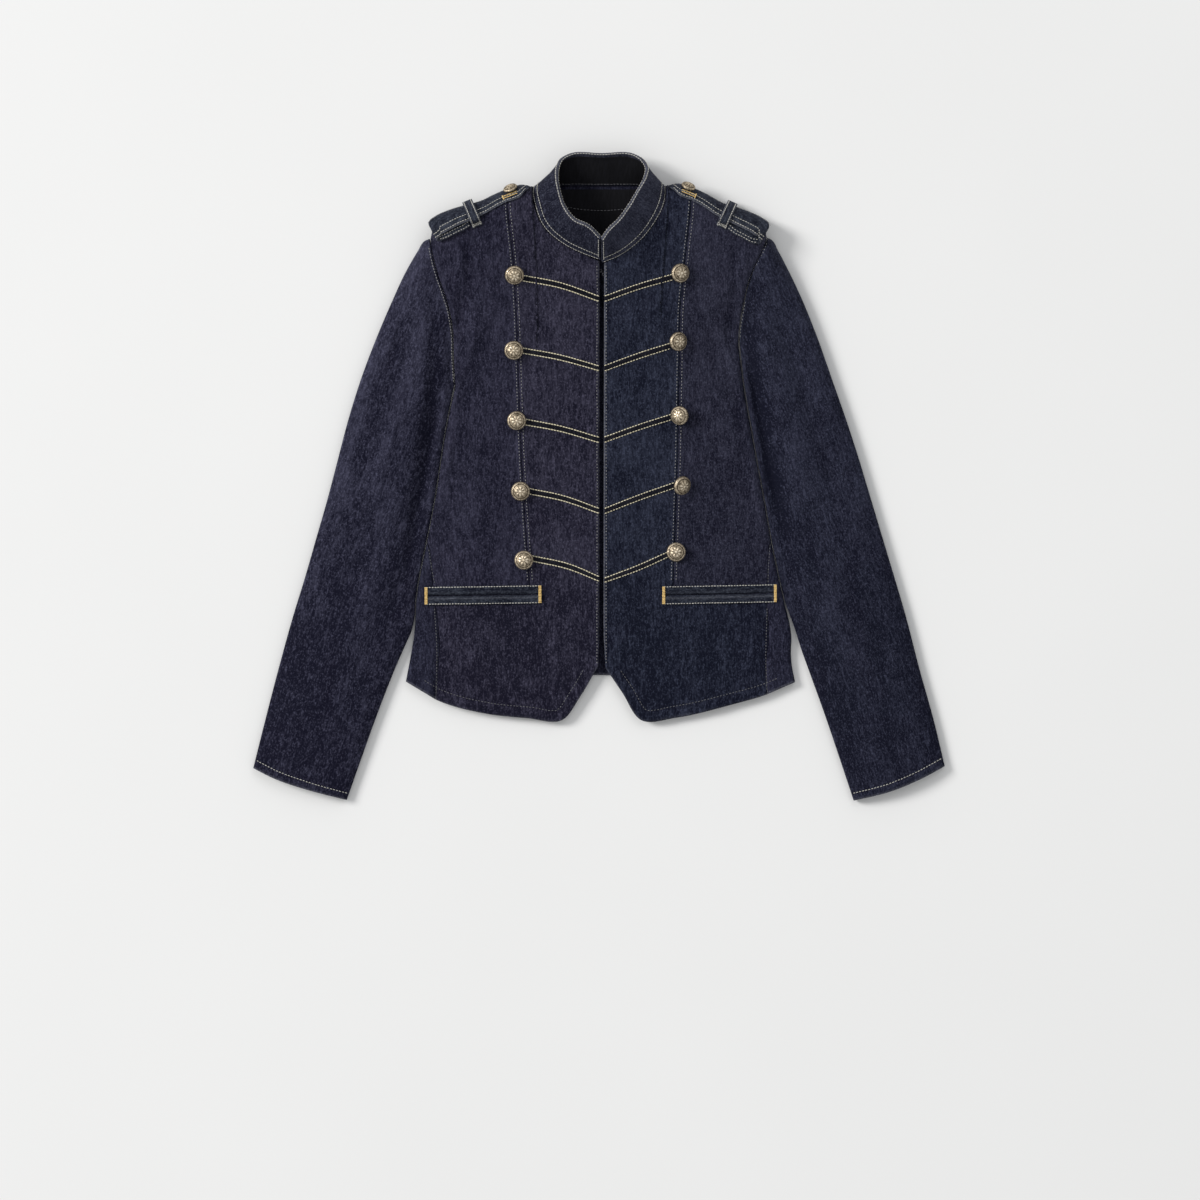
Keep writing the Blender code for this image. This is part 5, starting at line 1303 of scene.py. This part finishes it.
def sleeve_spot(key, u, v, out=0.0):
    """Points on the sleeve's upper side and their normals."""
    def at(a, b):
        p, z = sleeve_top(key, a, b)
        return world(p[..., 0], p[..., 1], z)
    g = at(u, v)
    n = np.cross(at(u, v + 0.0008) - at(u, v - 0.0008), at(u + 0.004, v) - at(u - 0.004, v))
    n /= np.linalg.norm(n, axis=-1, keepdims=True)
    n = np.where(n[..., 2:] < 0, -n, n)
    return g + n * out * MM, n


def make_sleeve(key):
    n = 58
    a = np.linspace(0, math.pi, n + 1)
    u = (1 - np.cos(a)) / 2 * 0.55 + 0.45 * np.linspace(0, 1, n + 1)
    v = np.concatenate([np.linspace(0, 0.03, 9)[:-1], np.linspace(0.03, 0.965, 205)[:-1], np.linspace(0.965, 1, 15)])[:, None]
    p_up, z_up = sleeve_top(key, u[None, :], v)
    p_dn, z_dn = sleeve_surface(key, u[None, :], v, False)
    hollow = np.clip(0.5 + lattice(p_dn[..., 0], p_dn[..., 1], 40, 80, 86), 0, 1)**2 * 0.9
    hollow = hollow * smoothstep(np.minimum(u, 1 - u) / 0.3 - 0.4)[None, :] * smoothstep((1 - v) / 0.1)
    z_dn = z_dn + hollow
    ring_p = np.concatenate([p_up, p_dn[:, -2:0:-1]], 1)
    ring_z = np.concatenate([z_up, z_dn[:, -2:0:-1]], 1)
    x, y = ring_p[..., 0], ring_p[..., 1]
    low = np.zeros(x.shape)
    low[:, n + 1:] = 1
    weave = plan_weave(x, y, {'L': 7.3, 'R': 8.9}[key], SLEEVE_TILT[key])
    weave[..., 0] += low * 0.31
    to_cuff = (1 - v) * 560 * UNIT + 0 * x
    seam = v * 560 * UNIT + 0 * x
    wear = 0.55 * np.exp(-(to_cuff / 1.4)**2)
    # tone: cuff and seam wear, dark seam lines, random patches, painted shade in the creases' troughs (deepest in the
    # valley beside the body) and painted light on their ridges on the upper side, and darker towards the cuff
    tone = (0.12 * np.exp(-((to_cuff - 5) / 3.0)**2) * (0.6 + lattice(x, y, 9, 6, 87)) - 0.10 * np.exp(-((to_cuff - 9.6) / 1.2)**2)
            + 0.08 * np.exp(-((seam - 4) / 2.4)**2) - 0.06 * np.exp(-(seam / 1.2)**2) + 0.08 * lattice(x, y, 26, 60, 88)
            + {'L': 0.062, 'R': 0.088}[key] * np.clip(creased(x.ravel(), y.ravel(), SLEEVE_CREASES[key]).reshape(x.shape), -5.0, 3.0) * (1 - low)
            - {'L': 0.20, 'R': 0.14}[key] * smoothstep((v - 0.40) / 0.40))
    if key == 'L':      # painted highlight: the outer fold of this sleeve faces the light and is painted paler on its upper side
        u_all = np.concatenate([u, u[-2:0:-1]])[None, :] + 0 * x
        tone += 0.16 * np.exp(-((u_all - 0.10) / 0.09)**2) * smoothstep((0.62 - v) / 0.25) * (1 - low)
    shell('cloth_sleeve_' + key, 'sleeve_' + key, world(x, y, ring_z), WALL, FINISH['sleeve_' + key], loop=True,
          flip=(key == 'L'), weave=weave, tone=tone, wear=wear)
    uu = np.linspace(0.015, 0.985, 90)
    ECRU.row(sleeve_spot(key, uu, np.full(uu.shape, 1 - 9.2 / (560 * UNIT))), pitch=3.3, dash=2.5, wide=0.85)
    if key == 'L':
        uu = np.linspace(0.06, 0.97, 120)
        GREY.row(sleeve_spot(key, uu, np.full(uu.shape, 2.2 / (560 * UNIT))), pitch=3.2, dash=2.2, wide=0.8)
    p, z = sleeve_surface(key, uu, np.full(uu.shape, 1 - 9.2 / (560 * UNIT)), False)
    down = world(p[..., 0], p[..., 1], z)
    inner = (uu > 0.14) & (uu < 0.86)
    ECRU.row((down[inner] + np.array([0, 0, 0.0004]), np.tile([0.0, 0.0, -1.0], (inner.sum(), 1))), pitch=3.3, dash=2.5,
             wide=0.8, rise=0.2)


# ---------------------------------------------------------------- collar
def collar_frame(cols, shares):
    """The collar's foot points, its upward directions and heights, and normals that point away from the neck; shares is
    not used.
    """
    rows = []
    foot = dense([r[:3] for r in COLLAR])
    top = dense([r[3:] for r in COLLAR])
    share = np.linspace(0, len(foot) - 1, cols + 1)
    k = np.arange(len(foot))
    f = np.stack([np.interp(share, k, foot[:, i]) for i in range(3)], -1)
    t = np.stack([np.interp(share, k, top[:, i]) for i in range(3)], -1)
    fw, tw = world(f[:, 0], f[:, 1], f[:, 2]), world(t[:, 0], t[:, 1], t[:, 2])
    up = tw - fw
    height = np.linalg.norm(up, axis=1)
    up /= height[:, None]
    across = np.gradient((fw + tw) / 2, axis=0)
    n = np.cross(across, up)
    n /= np.linalg.norm(n, axis=1, keepdims=True)
    centre = tw.mean(0)
    if np.sum(n * (fw - centre)) < 0:
        n = -n
    return fw, up, height, n


def collar_relief(s, h):
    """Small waves of the collar's outer cloth, mm."""
    return (0.30 * lattice(s, h, 26, 14, 90) + 0.14 * lattice(s + 7, h, 9, 8, 91)
            + 0.12 * lattice(s, h, 5, 30, 92) * (np.exp(-((h - 3) / 3.0)**2) + np.exp(-((h - 24) / 3.0)**2)))


def make_collar():
    cols = 300
    fw, up, height, n = collar_frame(cols, None)
    s = np.concatenate([[0], np.cumsum(np.linalg.norm(np.diff(fw, axis=0), axis=1))]) / MM
    H = height / MM
    rows, tones, wears, weaves = [], [], [], []
    body, bulb = 1.15, 2.0                  # half thickness in the middle and at the rolled top, mm

    def half(h):                            # half thickness at a height
        return body + (bulb - body) * np.exp(-((H - h) / 4.2)**2)

    outer = np.concatenate([np.linspace(0, 0.10, 6)[:-1], np.linspace(0.10, 0.84, 22)[:-1], np.linspace(0.84, 0.965, 9)])
    for q in outer:
        h = H * q
        wave = collar_relief(s, h) * smoothstep(h / 3.0) * smoothstep((H - h) / 3.0)
        seam_h, top_h = 6.6, H - 1.6
        wave = wave - 0.30 * np.exp(-((h - seam_h) / 0.8)**2) - 0.30 * np.exp(-((h - top_h) / 0.8)**2)
        out = half(h) - body
        rows.append(fw + up * (h * MM)[:, None] + n * ((out * 0.35 + wave) * MM)[:, None])
        wears.append(0.60 * np.exp(-(h / 0.9)**2) + 0.25 * np.exp(-((H - h) / 1.3)**2))
        tones.append(0.08 * np.exp(-((h - 2.4) / 1.6)**2) + 0.12 * np.exp(-((H - h) / 3.0)**2) - 0.08 * np.exp(-((h - 5.6) / 1.0)**2)
                     + 0.05 * lattice(s, h, 20, 12, 93) + np.where(s < s[-1] / 2, -0.13, 0.16))
        weaves.append(np.stack([s * MM, h * MM, np.full(s.shape, 9.9)], -1))
    for q in np.linspace(0, math.pi, 13)[1:-1]:     # over the top
        r = half(H)
        h = H * 0.965 + np.sin(q) * (H * 0.035 + 0.4)
        across = -(1 - math.cos(q)) * r + (r - body) * 0.35
        rows.append(fw + up * (h * MM)[:, None] + n * (across * MM)[:, None])
        wears.append(np.full(s.shape, 0.42) * (0.7 + 0.3 * lattice(s, s, 6, 6, 94)))
        tones.append(np.full(s.shape, 0.15))
        weaves.append(np.stack([s * MM, (H + q * 1.3) * MM, np.full(s.shape, 9.9)], -1))
    for q in (0.955, 0.93, 0.90, 0.86, 0.82, 0.76):      # down inside, under the facing
        h = H * q
        rows.append(fw + up * (h * MM)[:, None] - n * ((2 * half(h) - (half(h) - body) * 0.35) * MM)[:, None])
        wears.append(np.full(s.shape, 0.1))
        tones.append(np.full(s.shape, 0.0))
        weaves.append(np.stack([s * MM, (2 * H + 6 - h) * MM, np.full(s.shape, 9.9)], -1))
    for q in (0.4, 0.05):
        h = H * q
        rows.append(fw + up * (h * MM)[:, None] - n * (2.0 * MM))
        wears.append(np.full(s.shape, 0.0))
        tones.append(np.full(s.shape, -0.1))
        weaves.append(np.stack([s * MM, (2 * H + 6 - h) * MM, np.full(s.shape, 9.9)], -1))
    # closed ring section: rows go up the outside, over the top and down inside
    ring = np.stack(rows, 1)                 # along the collar, round the section
    m, k = ring.shape[:2]
    faces = grid_faces(m, k, loop=True)
    caps = []
    half_k = k // 2
    for end in (0, (m - 1) * k):
        strip = [(end + a, end + a + 1, end + k - 2 - a, end + k - 1 - a) for a in range(half_k - 1)]
        caps += strip if end == 0 else [q[::-1] for q in strip]
    every = np.concatenate([faces, np.array(caps)])
    pts = ring.reshape(-1, 3)
    a, b, c, d = (pts[faces[:, q]] for q in range(4))
    middle = ring.mean(1)[:, None]
    out = (ring - middle).reshape(-1, 3)[faces[:, 0]]
    flipped = (np.cross(c - a, d - b) * out).sum() < 0
    if flipped:
        every = every[:, ::-1]
    ob = mesh_object('cloth_collar', pts, every, FINISH['collar'], np.stack(weaves, 1), np.stack(tones, 1), np.stack(wears, 1))
    declare(ob, 'collar', ring, faces, loop=True,
            doubled=True)

    # facing: a thin dark sheet on the inner side
    g = []
    for q in np.linspace(0.90, 0.10, 26):
        h = H * q
        depth = 2 * half(h) + 0.15 + 0.15 * lattice(s, h, 20, 12, 95)
        g.append(fw + up * (h * MM)[:, None] - n * (depth * MM)[:, None])
    inner = np.stack(g, 0)
    weave = np.stack([np.tile(s * MM, (len(g), 1)), np.linspace(0, 0.03, len(g))[:, None] + 0 * s[None, :], np.full((len(g), len(s)), 3.3)], -1)
    shell('cloth_collar_facing', 'collar_facing', inner, 0.5, FINISH['facing'], face_way=(0.0, 0.02, 1.0),
          weave=weave)

    def on_collar(h, out, way=1.0, lo=0.004, hi=0.996):
        q = np.linspace(lo, hi, 300) * cols
        idx = np.arange(cols + 1)
        pick = lambda arr: np.stack([np.interp(q, idx, arr[:, k]) for k in range(3)], -1)
        hh = np.interp(q, idx, h if np.ndim(h) else np.full(cols + 1, h))
        oo = np.interp(q, idx, out if np.ndim(out) else np.full(cols + 1, out))
        nn, uu, ff = pick(n), pick(up), pick(fw)
        nn /= np.linalg.norm(nn, axis=1, keepdims=True)
        return ff + uu * (hh * MM)[:, None] + nn * (oo * MM)[:, None], nn * way

    def on_roll(q):                         # points round the rolled top, q from outside to inside
        r, top = half(H), H * 0.965 + math.sin(q) * (H * 0.035 + 0.4)
        points, _ = on_collar(top, -(1 - math.cos(q)) * r + (r - body) * 0.35)
        way = on_collar(top, 0.0)[1] * math.cos(q)
        lift = points - on_collar(top - 1.0, -(1 - math.cos(q)) * r + (r - body) * 0.35)[0]
        lift /= np.linalg.norm(lift, axis=1, keepdims=True)
        return points, way + lift * math.sin(q)

    ECRU.row(on_collar(6.6, 0.0), pitch=3.0, dash=2.5, wide=0.90, rise=0.34)
    ECRU.row(on_collar(0.9, 0.10), pitch=3.0, dash=2.6, wide=0.80, rise=0.30)
    ECRU.row(on_roll(0.35), pitch=3.0, dash=2.5, wide=0.95, rise=0.36)
    ECRU.row(on_roll(2.55), pitch=3.0, dash=2.5, wide=0.90, rise=0.34)
    lo, hi = 6.6 / 18, 11.4 / 18
    # painted shade: this row inside the back of the collar takes the dark thread because it lies deep in the neck's
    # shadow
    DIM.row(on_collar(4.0, -3.1, way=-1.0, lo=lo, hi=hi), pitch=3.4, dash=2.8, wide=0.8, rise=0.3)
    # the two ends of the collar
    for idx in (0, cols):
        q = np.linspace(0.10, 0.93, 30)
        step = (fw[min(idx + 6, cols)] - fw[idx]) if idx == 0 else (fw[idx - 6] - fw[idx])
        step = step / np.linalg.norm(step) * 1.5 * MM
        line = fw[idx] + up[idx] * (q * H[idx] * MM)[:, None] + step + n[idx] * 0.1 * MM
        ECRU.row((line, np.tile(n[idx], (len(q), 1))), pitch=3.0, dash=2.4, wide=0.85)


# ---------------------------------------------------------------- straps and keepers
def strap_rows(key, steps=9):
    rows = dense([(t * 100, out, drop) for t, out, drop in strap_path(key)], steps)
    return rows[:, 0] / 100, np.maximum(rows[:, 1], LIFT), rows[:, 2]


def strap_depths(key, share):
    k = STRAP[key]
    front = read_table(k['depth'], share)
    back = np.full(share.shape, 0.8)
    w = np.clip((share - k['tip']) / (0.10 - k['tip']), 0, 1)
    tip = 0.25 + 0.75 * np.sqrt(w)
    return 4.0 + (back - 4.0) * tip, 4.0 + (front - 4.0) * tip


def make_strap(key):
    share, out, drop = strap_rows(key)
    order = np.arange(len(share))
    top_side = order <= np.argmax(share)
    w = np.concatenate([[0, 0.03], np.linspace(0.08, 0.92, 20), [0.97, 1.0]])
    edge = np.exp(-(np.minimum(w, 1 - w) * 14 / 1.0)**2)
    back, front = strap_depths(key, share)
    depth = back[:, None] + (front - back)[:, None] * w[None, :] ** 1.25 + drop[:, None]
    s = np.broadcast_to(share[:, None], depth.shape)
    wave = 0.22 * lattice(s * 100, depth, 9, 7, 96) + 0.12 * lattice(s * 100, depth, 4, 5, 97)
    o = out[:, None] + np.where(top_side[:, None], 0.35 * (1 - edge)[None, :] + wave, 0.1 * wave)
    g, n = on_shoulder(key, s, depth, o)
    wear = np.where(top_side[:, None], 0.55, 0.2) * edge[None, :] + 0 * s
    tone = 0.10 * np.exp(-((front[:, None] + drop[:, None] - depth - 3.5) / 1.6)**2) + 0.05 * lattice(s * 100, depth, 10, 6, 98)
    weave = np.stack([depth * MM, s * 0.12, np.full(s.shape, 3.1)], -1)
    first = np.cross(g[12, 8] - g[10, 8], g[10, 12] - g[10, 8])
    shell('cloth_epaulette_' + key, 'epaulette_' + key, g, WALL_STRAP, FINISH['strap'], flip=bool(first[2] > 0),
          weave=weave, tone=tone, wear=wear)
    upper = share[top_side]
    lift = out[top_side] + 0.35
    for inset in (1.6, 5.2):
        back, front = strap_depths(key, upper)
        depth = np.maximum(front - inset, 2.0)
        m = (upper > 0.05)
        spot = on_shoulder(key, upper[m], depth[m], lift[m])
        ECRU.row(spot, pitch=2.9, dash=2.3, wide=0.85, rise=0.3)
    m = (upper > 0.08)
    spot = on_shoulder(key, upper[m], np.full(m.sum(), 1.7), lift[m])
    GREY.row(spot, pitch=3.0, dash=2.2, wide=0.8, rise=0.3)
    # the lower layer's own stitched edge, below the loop
    under = ~top_side & (share < share.max() - 0.03)
    us, uo = share[under], out[under]
    for inset in (1.4, 4.4):
        back, front = strap_depths(key, us)
        spot = on_shoulder(key, us, front + drop[under] - inset, uo + WALL_STRAP * 0.6)
        ECRU.row(spot, pitch=3.0, dash=2.3, wide=0.8, rise=WALL_STRAP * 0.6 + 0.25, sink=0.1)
    # worked buttonhole in gold thread beside the button
    k = STRAP[key]
    centre = k['button']
    for sgn in (-1, 1):
        t = np.linspace(centre - 0.045, centre + 0.085, 24)
        spot = on_shoulder(key, t, np.full(t.shape, 8.6 + 1.0 * sgn), np.full(t.shape, LIFT + WALL_STRAP + 0.7))
        GOLD.row(spot, pitch=1.15, dash=1.3, wide=1.1, rise=0.35)
    t = np.full(8, centre + 0.09)
    GOLD.row(on_shoulder(key, t, np.linspace(6.6, 10.6, 8), np.full(8, LIFT + WALL_STRAP + 0.75)), pitch=1.0, dash=1.4, wide=1.3, rise=0.4)


def make_keeper(key):
    k = STRAP[key]
    t0 = k['keeper']
    over = LIFT + WALL_STRAP * 2 + 3.2
    front = float(read_table(k['depth'], t0))
    path = [(0.2, 1.6), (0.2, over), (1.2, over + 0.4), (3.0, over), (7.0, over), (front - 2.0, over),
            (front + 1.8, over - 0.4), (front + 3.4, 2.8), (front + 4.2, 1.5), (front + 8.0, 1.5)]
    line = dense(path, 7)
    w = np.concatenate([[0, 0.06], np.linspace(0.15, 0.85, 10), [0.94, 1]])
    depth = np.broadcast_to(line[:, :1], (len(line), len(w)))
    edge = np.exp(-(np.minimum(w, 1 - w) / 0.07)**2)
    out = line[:, 1:] + 0.35 * (1 - edge)[None, :] + 0.12 * lattice(depth, w[None, :] * 10 + 0 * depth, 3, 3, 99)
    share = t0 - 0.045 + 0.09 * w[None, :] + 0 * depth
    g, n = on_shoulder(key, share, depth, out)
    first = np.cross(g[30, 6] - g[26, 6], g[28, 9] - g[28, 4])
    weave = np.stack([w[None, :] * 0.012 + 0 * depth, depth * MM, np.full(depth.shape, 3.7)], -1)
    wear = 0.6 * edge[None, :] + 0 * depth
    shell('cloth_keeper_' + key, 'keeper_' + key, g, 0.8, FINISH['strap'], flip=bool(first[2] > 0), weave=weave, wear=wear,
          tone=0.05 + 0 * depth)
    for q in (0.14, 0.86):
        m = line[:, 0] > 0.6
        spot = on_shoulder(key, np.full(m.sum(), t0 - 0.045 + 0.09 * q), line[m, 0], line[m, 1] + 0.35)
        ECRU.row(spot, pitch=2.6, dash=2.1, wide=0.9, rise=0.3)
    for q in np.linspace(0.1, 0.9, 7):      # bartack that holds its lower end
        d = np.linspace(front + 3.9, front + 7.0, 6)
        spot = on_shoulder(key, np.full(6, t0 - 0.045 + 0.09 * q), d, np.full(6, 1.9))
        ECRU.row(spot, pitch=1.4, dash=1.5, wide=0.95, rise=0.35)


# ---------------------------------------------------------------- pocket welts
def make_welts(key):
    s = SIDES[key]
    line = Line(s['welt'])
    half = s['welt_tall'] / 2
    slit = 0.5
    t = np.linspace(0, 1, 110)
    p = line.at(t)
    for name, lo, hi in (('welt_upper_', -half, -slit), ('welt_lower_', slit, half)):
        w = np.linspace(0, 1, 13)
        off = lo + (hi - lo) * w
        x, y = p[:, 0][:, None] + 0 * off, p[:, 1][:, None] + off[None, :] + 0.35 * lattice(p[:, 0], p[:, 0], 18, 9, 100)[:, None]
        lip = w if 'upper' in name else 1 - w           # 1 at the slit
        bulge = 1.25 * np.sin(math.pi * (0.12 + 0.80 * lip)) ** 0.8 - 1.1 * smoothstep((lip - 0.86) / 0.14)
        lift = 0.9 + bulge[None, :] + 0.14 * lattice(x, y, 8, 4, 101)
        ends = smoothstep(np.minimum(t, 1 - t) / 0.02 + 0.3)[:, None]
        g = world(x, y, front_top(x, y) + 0.4 + lift * ends)
        wear = 0.30 * np.exp(-((lip - 0.72) / 0.10)**2)[None, :] * (1.0 if 'lower' in name else 0.25) + 0 * x
        tone = (-0.12 * np.exp(-((lip - 0.35) / 0.3)**2) + (0.10 if 'lower' in name else -0.02))[None, :] + 0 * x
        shell('cloth_' + name + key, name + key, np.swapaxes(g, 0, 1), WALL_WELT, FINISH['strap'], face_way=(0, 0, 1),
              weave=np.swapaxes(plan_weave(x, y, 5.9, 1.57), 0, 1), wear=wear.T, tone=tone.T)
    # frame of stitches and a bartack at each end
    for off in (-half + 0.7, half - 0.7):
        q = line.at(np.linspace(0.005, 0.995, 100))
        spot = front_spot(q[:, 0], q[:, 1] + off, 1.75)
        ECRU.row(spot, pitch=3.0, dash=2.6, wide=1.0, rise=0.30)
    for end in (0.008, 0.992):
        q = line.at(np.array([end]))[0]
        for k, dx in enumerate((-0.9, 0.0, 0.9)):
            y = np.linspace(q[1] - half + 0.3, q[1] + half - 0.3, 40)
            spot = front_spot(np.full(40, q[0] + dx), y, 2.3)
            GOLD.row(spot, pitch=1.6, dash=1.75, wide=1.15, rise=0.45)
        DIM.row(front_spot(np.full(4, q[0]), np.linspace(q[1] - 3, q[1] + 3, 4), 1.0), pitch=3, dash=2, wide=0.5)


# ---------------------------------------------------------------- buttons
def button_surface(size, dome, shank):
    """A domed button with a rope rim and a plain rosette: vertices, faces, wear."""
    r = size / 2
    turns = 96
    a = np.linspace(0, 2 * math.pi, turns, endpoint=False)
    q = np.concatenate([np.linspace(0.02, 0.70, 17), np.linspace(0.73, 1.0, 13)])
    low = np.array([0.995, 0.96, 0.88, 0.6, 0.3])
    rows, wear = [], []
    for k in q:
        z = shank + dome * (0.10 + 0.90 * math.sqrt(max(1 - (k * 0.97)**2, 0)) ** 1.1)
        petal = 0.5 + 0.5 * np.cos(8 * a)
        boss = 0.55 * math.exp(-(k / 0.13)**2)
        leaf = 0.42 * np.clip(np.sin(math.pi * np.clip((k - 0.14) / 0.46, 0, 1)), 0, 1) * petal**0.8
        ring = 0.22 * math.exp(-((k - 0.68) / 0.03)**2) - 0.18 * math.exp(-((k - 0.76) / 0.035)**2)
        rope = 0.40 * math.exp(-((k - 0.90) / 0.07)**2) * (0.55 + 0.45 * np.sin(30 * a + 24 * k))
        relief = (boss + leaf + ring + rope) * (size / 20.3)
        rows.append(np.stack([r * k * np.cos(a), r * k * np.sin(a), z + relief], -1))
        wear.append(np.clip(0.22 + relief * 1.5, 0, 1) + 0 * a)
    for k, z in ((0.995, shank + 0.25), (0.93, shank), (0.60, shank - 0.05), (0.24, shank - 0.2)):
        rows.append(np.stack([r * k * np.cos(a), r * k * np.sin(a), z + 0 * a], -1))
        wear.append(0.15 + 0 * a)
    for z in (shank * 0.5, 0.0):
        rows.append(np.stack([2.2 * np.cos(a), 2.2 * np.sin(a), z + 0 * a], -1))
        wear.append(0.1 + 0 * a)
    grid = np.stack(rows, 0) * MM
    faces = grid_faces(len(rows), turns, loop=True)
    verts = grid.reshape(-1, 3)
    wear = np.concatenate(wear)
    return verts, faces, wear, turns


def place_button(name, node, place, normal, size, dome, shank, tilt, spin):
    verts, faces, wear, turns = button_surface(size, dome, shank)
    mesh_verts = [tuple(v) for v in verts] + [(0, 0, float(verts[:turns, 2].mean()) + 0.0001), (0, 0, 0)]
    last = len(verts) - turns
    tris = [(k, len(verts), (k + 1) % turns) for k in range(turns)]
    tris += [(last + k, last + (k + 1) % turns, len(verts) + 1) for k in range(turns)]
    mesh = bpy.data.meshes.new(name)
    mesh.from_pydata(mesh_verts, [], [tuple(f[::-1]) for f in faces.tolist()] + [t[::-1] for t in tris])
    mesh.validate()
    attribute = mesh.attributes.new('wear', 'FLOAT', 'POINT')
    attribute.data.foreach_set('value', np.concatenate([wear, [0.9, 0.1]]).astype(np.float32))
    up = Vector((0, 0, 1)).rotation_difference(Vector(normal)).to_matrix().to_4x4()
    lean = Matrix.Rotation(math.radians(tilt[0]), 4, 'Y') @ Matrix.Rotation(math.radians(tilt[1]), 4, 'X')
    mesh.transform(Matrix.Translation(Vector(place)) @ up @ lean @ Matrix.Rotation(spin, 4, 'Z'))
    mesh.update()
    mesh.materials.append(FINISH['brass'])
    mesh.shade_smooth()
    ob = bpy.data.objects.new(name, mesh)
    COLLECTION.objects.link(ob)
    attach(ob, 'root')
    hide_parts(node)
    return ob


def make_buttons(key):
    for i, (x, y, tilt_y, tilt_x) in enumerate(SIDES[key]['buttons'], 1):
        z = float(front_z(x, y)) + LIFT + hang_height((tilt_y, tilt_x), BUTTON_D, SHANK_H)
        place_button('metal_button_%s%d' % (key, i), 'button_%s%d' % (key, i), world(x, y, z), (0, 0, 1), BUTTON_D, BUTTON_H,
                     SHANK_H, (tilt_y, tilt_x), 0.37 * i)
    k = STRAP[key]
    p, n = on_shoulder(key, np.array([k['button']]), np.array([4.2]), np.array([LIFT + WALL_STRAP + 0.5]))
    place_button('metal_button_strap_' + key, 'button_strap_' + key, p[0], n[0], STRAP_BUTTON_D, 4.2, 1.6, (0, 0), 0.2)


# ---------------------------------------------------------------- surroundings
def area_light(name, place, aim, size, power, colour=(1, 1, 1)):
    data = bpy.data.lights.new(name, 'AREA')
    data.shape, data.size, data.energy, data.color = 'SQUARE', size, power, colour
    ob = bpy.data.objects.new(name, data)
    ob.location = place
    ob.rotation_euler = (Vector(aim) - Vector(place)).to_track_quat('-Z', 'Y').to_euler()
    bpy.context.scene.collection.objects.link(ob)
    return ob


def make_surroundings():
    mesh = bpy.data.meshes.new('floor')
    mesh.from_pydata([(-9, -9, -0.0003), (9, -9, -0.0003), (9, 9, -0.0003), (-9, 9, -0.0003)], [], [(0, 1, 2, 3)])
    m, t, b = nodes_of('pale_floor')
    grain = noise_at(t, scaled(t, add(t, 'ShaderNodeTexCoord').outputs['Object'], 3, 3, 3), 2.0, 0.5)
    link(t, blended(t, ranged(t, grain, 0.3, 0.7), (0.795, 0.795, 0.79), (0.805, 0.805, 0.80)), b.inputs['Base Color'])
    b.inputs['Roughness'].default_value = 0.95
    b.inputs['Specular IOR Level'].default_value = 0.1
    mesh.materials.append(m)
    floor = bpy.data.objects.new('floor', mesh)
    bpy.context.scene.collection.objects.link(floor)
    world_ = bpy.data.worlds.new('soft_room')
    bpy.context.scene.world = world_
    world_.use_nodes = True
    back = world_.node_tree.nodes['Background']
    back.inputs['Color'].default_value = (0.98, 0.99, 1.0, 1)
    back.inputs['Strength'].default_value = 0.58
    area_light('key', (-11.6, 4.4, 8.2), (0, -0.1, 0), 5.0, 1860, (1.0, 0.99, 0.975))
    area_light('fill', (3.0, 5.0, 7.0), (0, -0.1, 0), 4.0, 60, (0.96, 0.98, 1.0))
    camera = bpy.data.cameras.new('camera')
    far = 7.0
    camera.sensor_width = 36.0
    camera.lens = 36.0 * far / (1200 * UNIT * MM)
    camera.clip_start, camera.clip_end = 0.1, 60
    ob = bpy.data.objects.new('camera', camera)
    ob.location = ((600 - PLAN_X) * UNIT * MM, (PLAN_Y - 600) * UNIT * MM, far)
    bpy.context.scene.collection.objects.link(ob)
    bpy.context.scene.camera = ob
    bpy.context.scene.view_settings.view_transform = 'Standard'
    bpy.context.scene.view_settings.look = 'None'


def main():
    make_surroundings()
    make_back()
    make_back_facing()
    for key in 'LR':
        make_fronts(key)
        make_sleeve(key)
        make_strap(key)
        make_keeper(key)
        make_welts(key)
        make_buttons(key)
    make_chevrons()
    make_collar()
    for threads in (ECRU, GREY, DIM, KHAKI, GOLD):
        threads.build()
    for node in ('hook', 'eye'):
        for holder in frame['nodes'][node].material_slots:
            holder.material = FINISH['steel']
    for row in SIZES:
        print('SHEET', *row)


main()
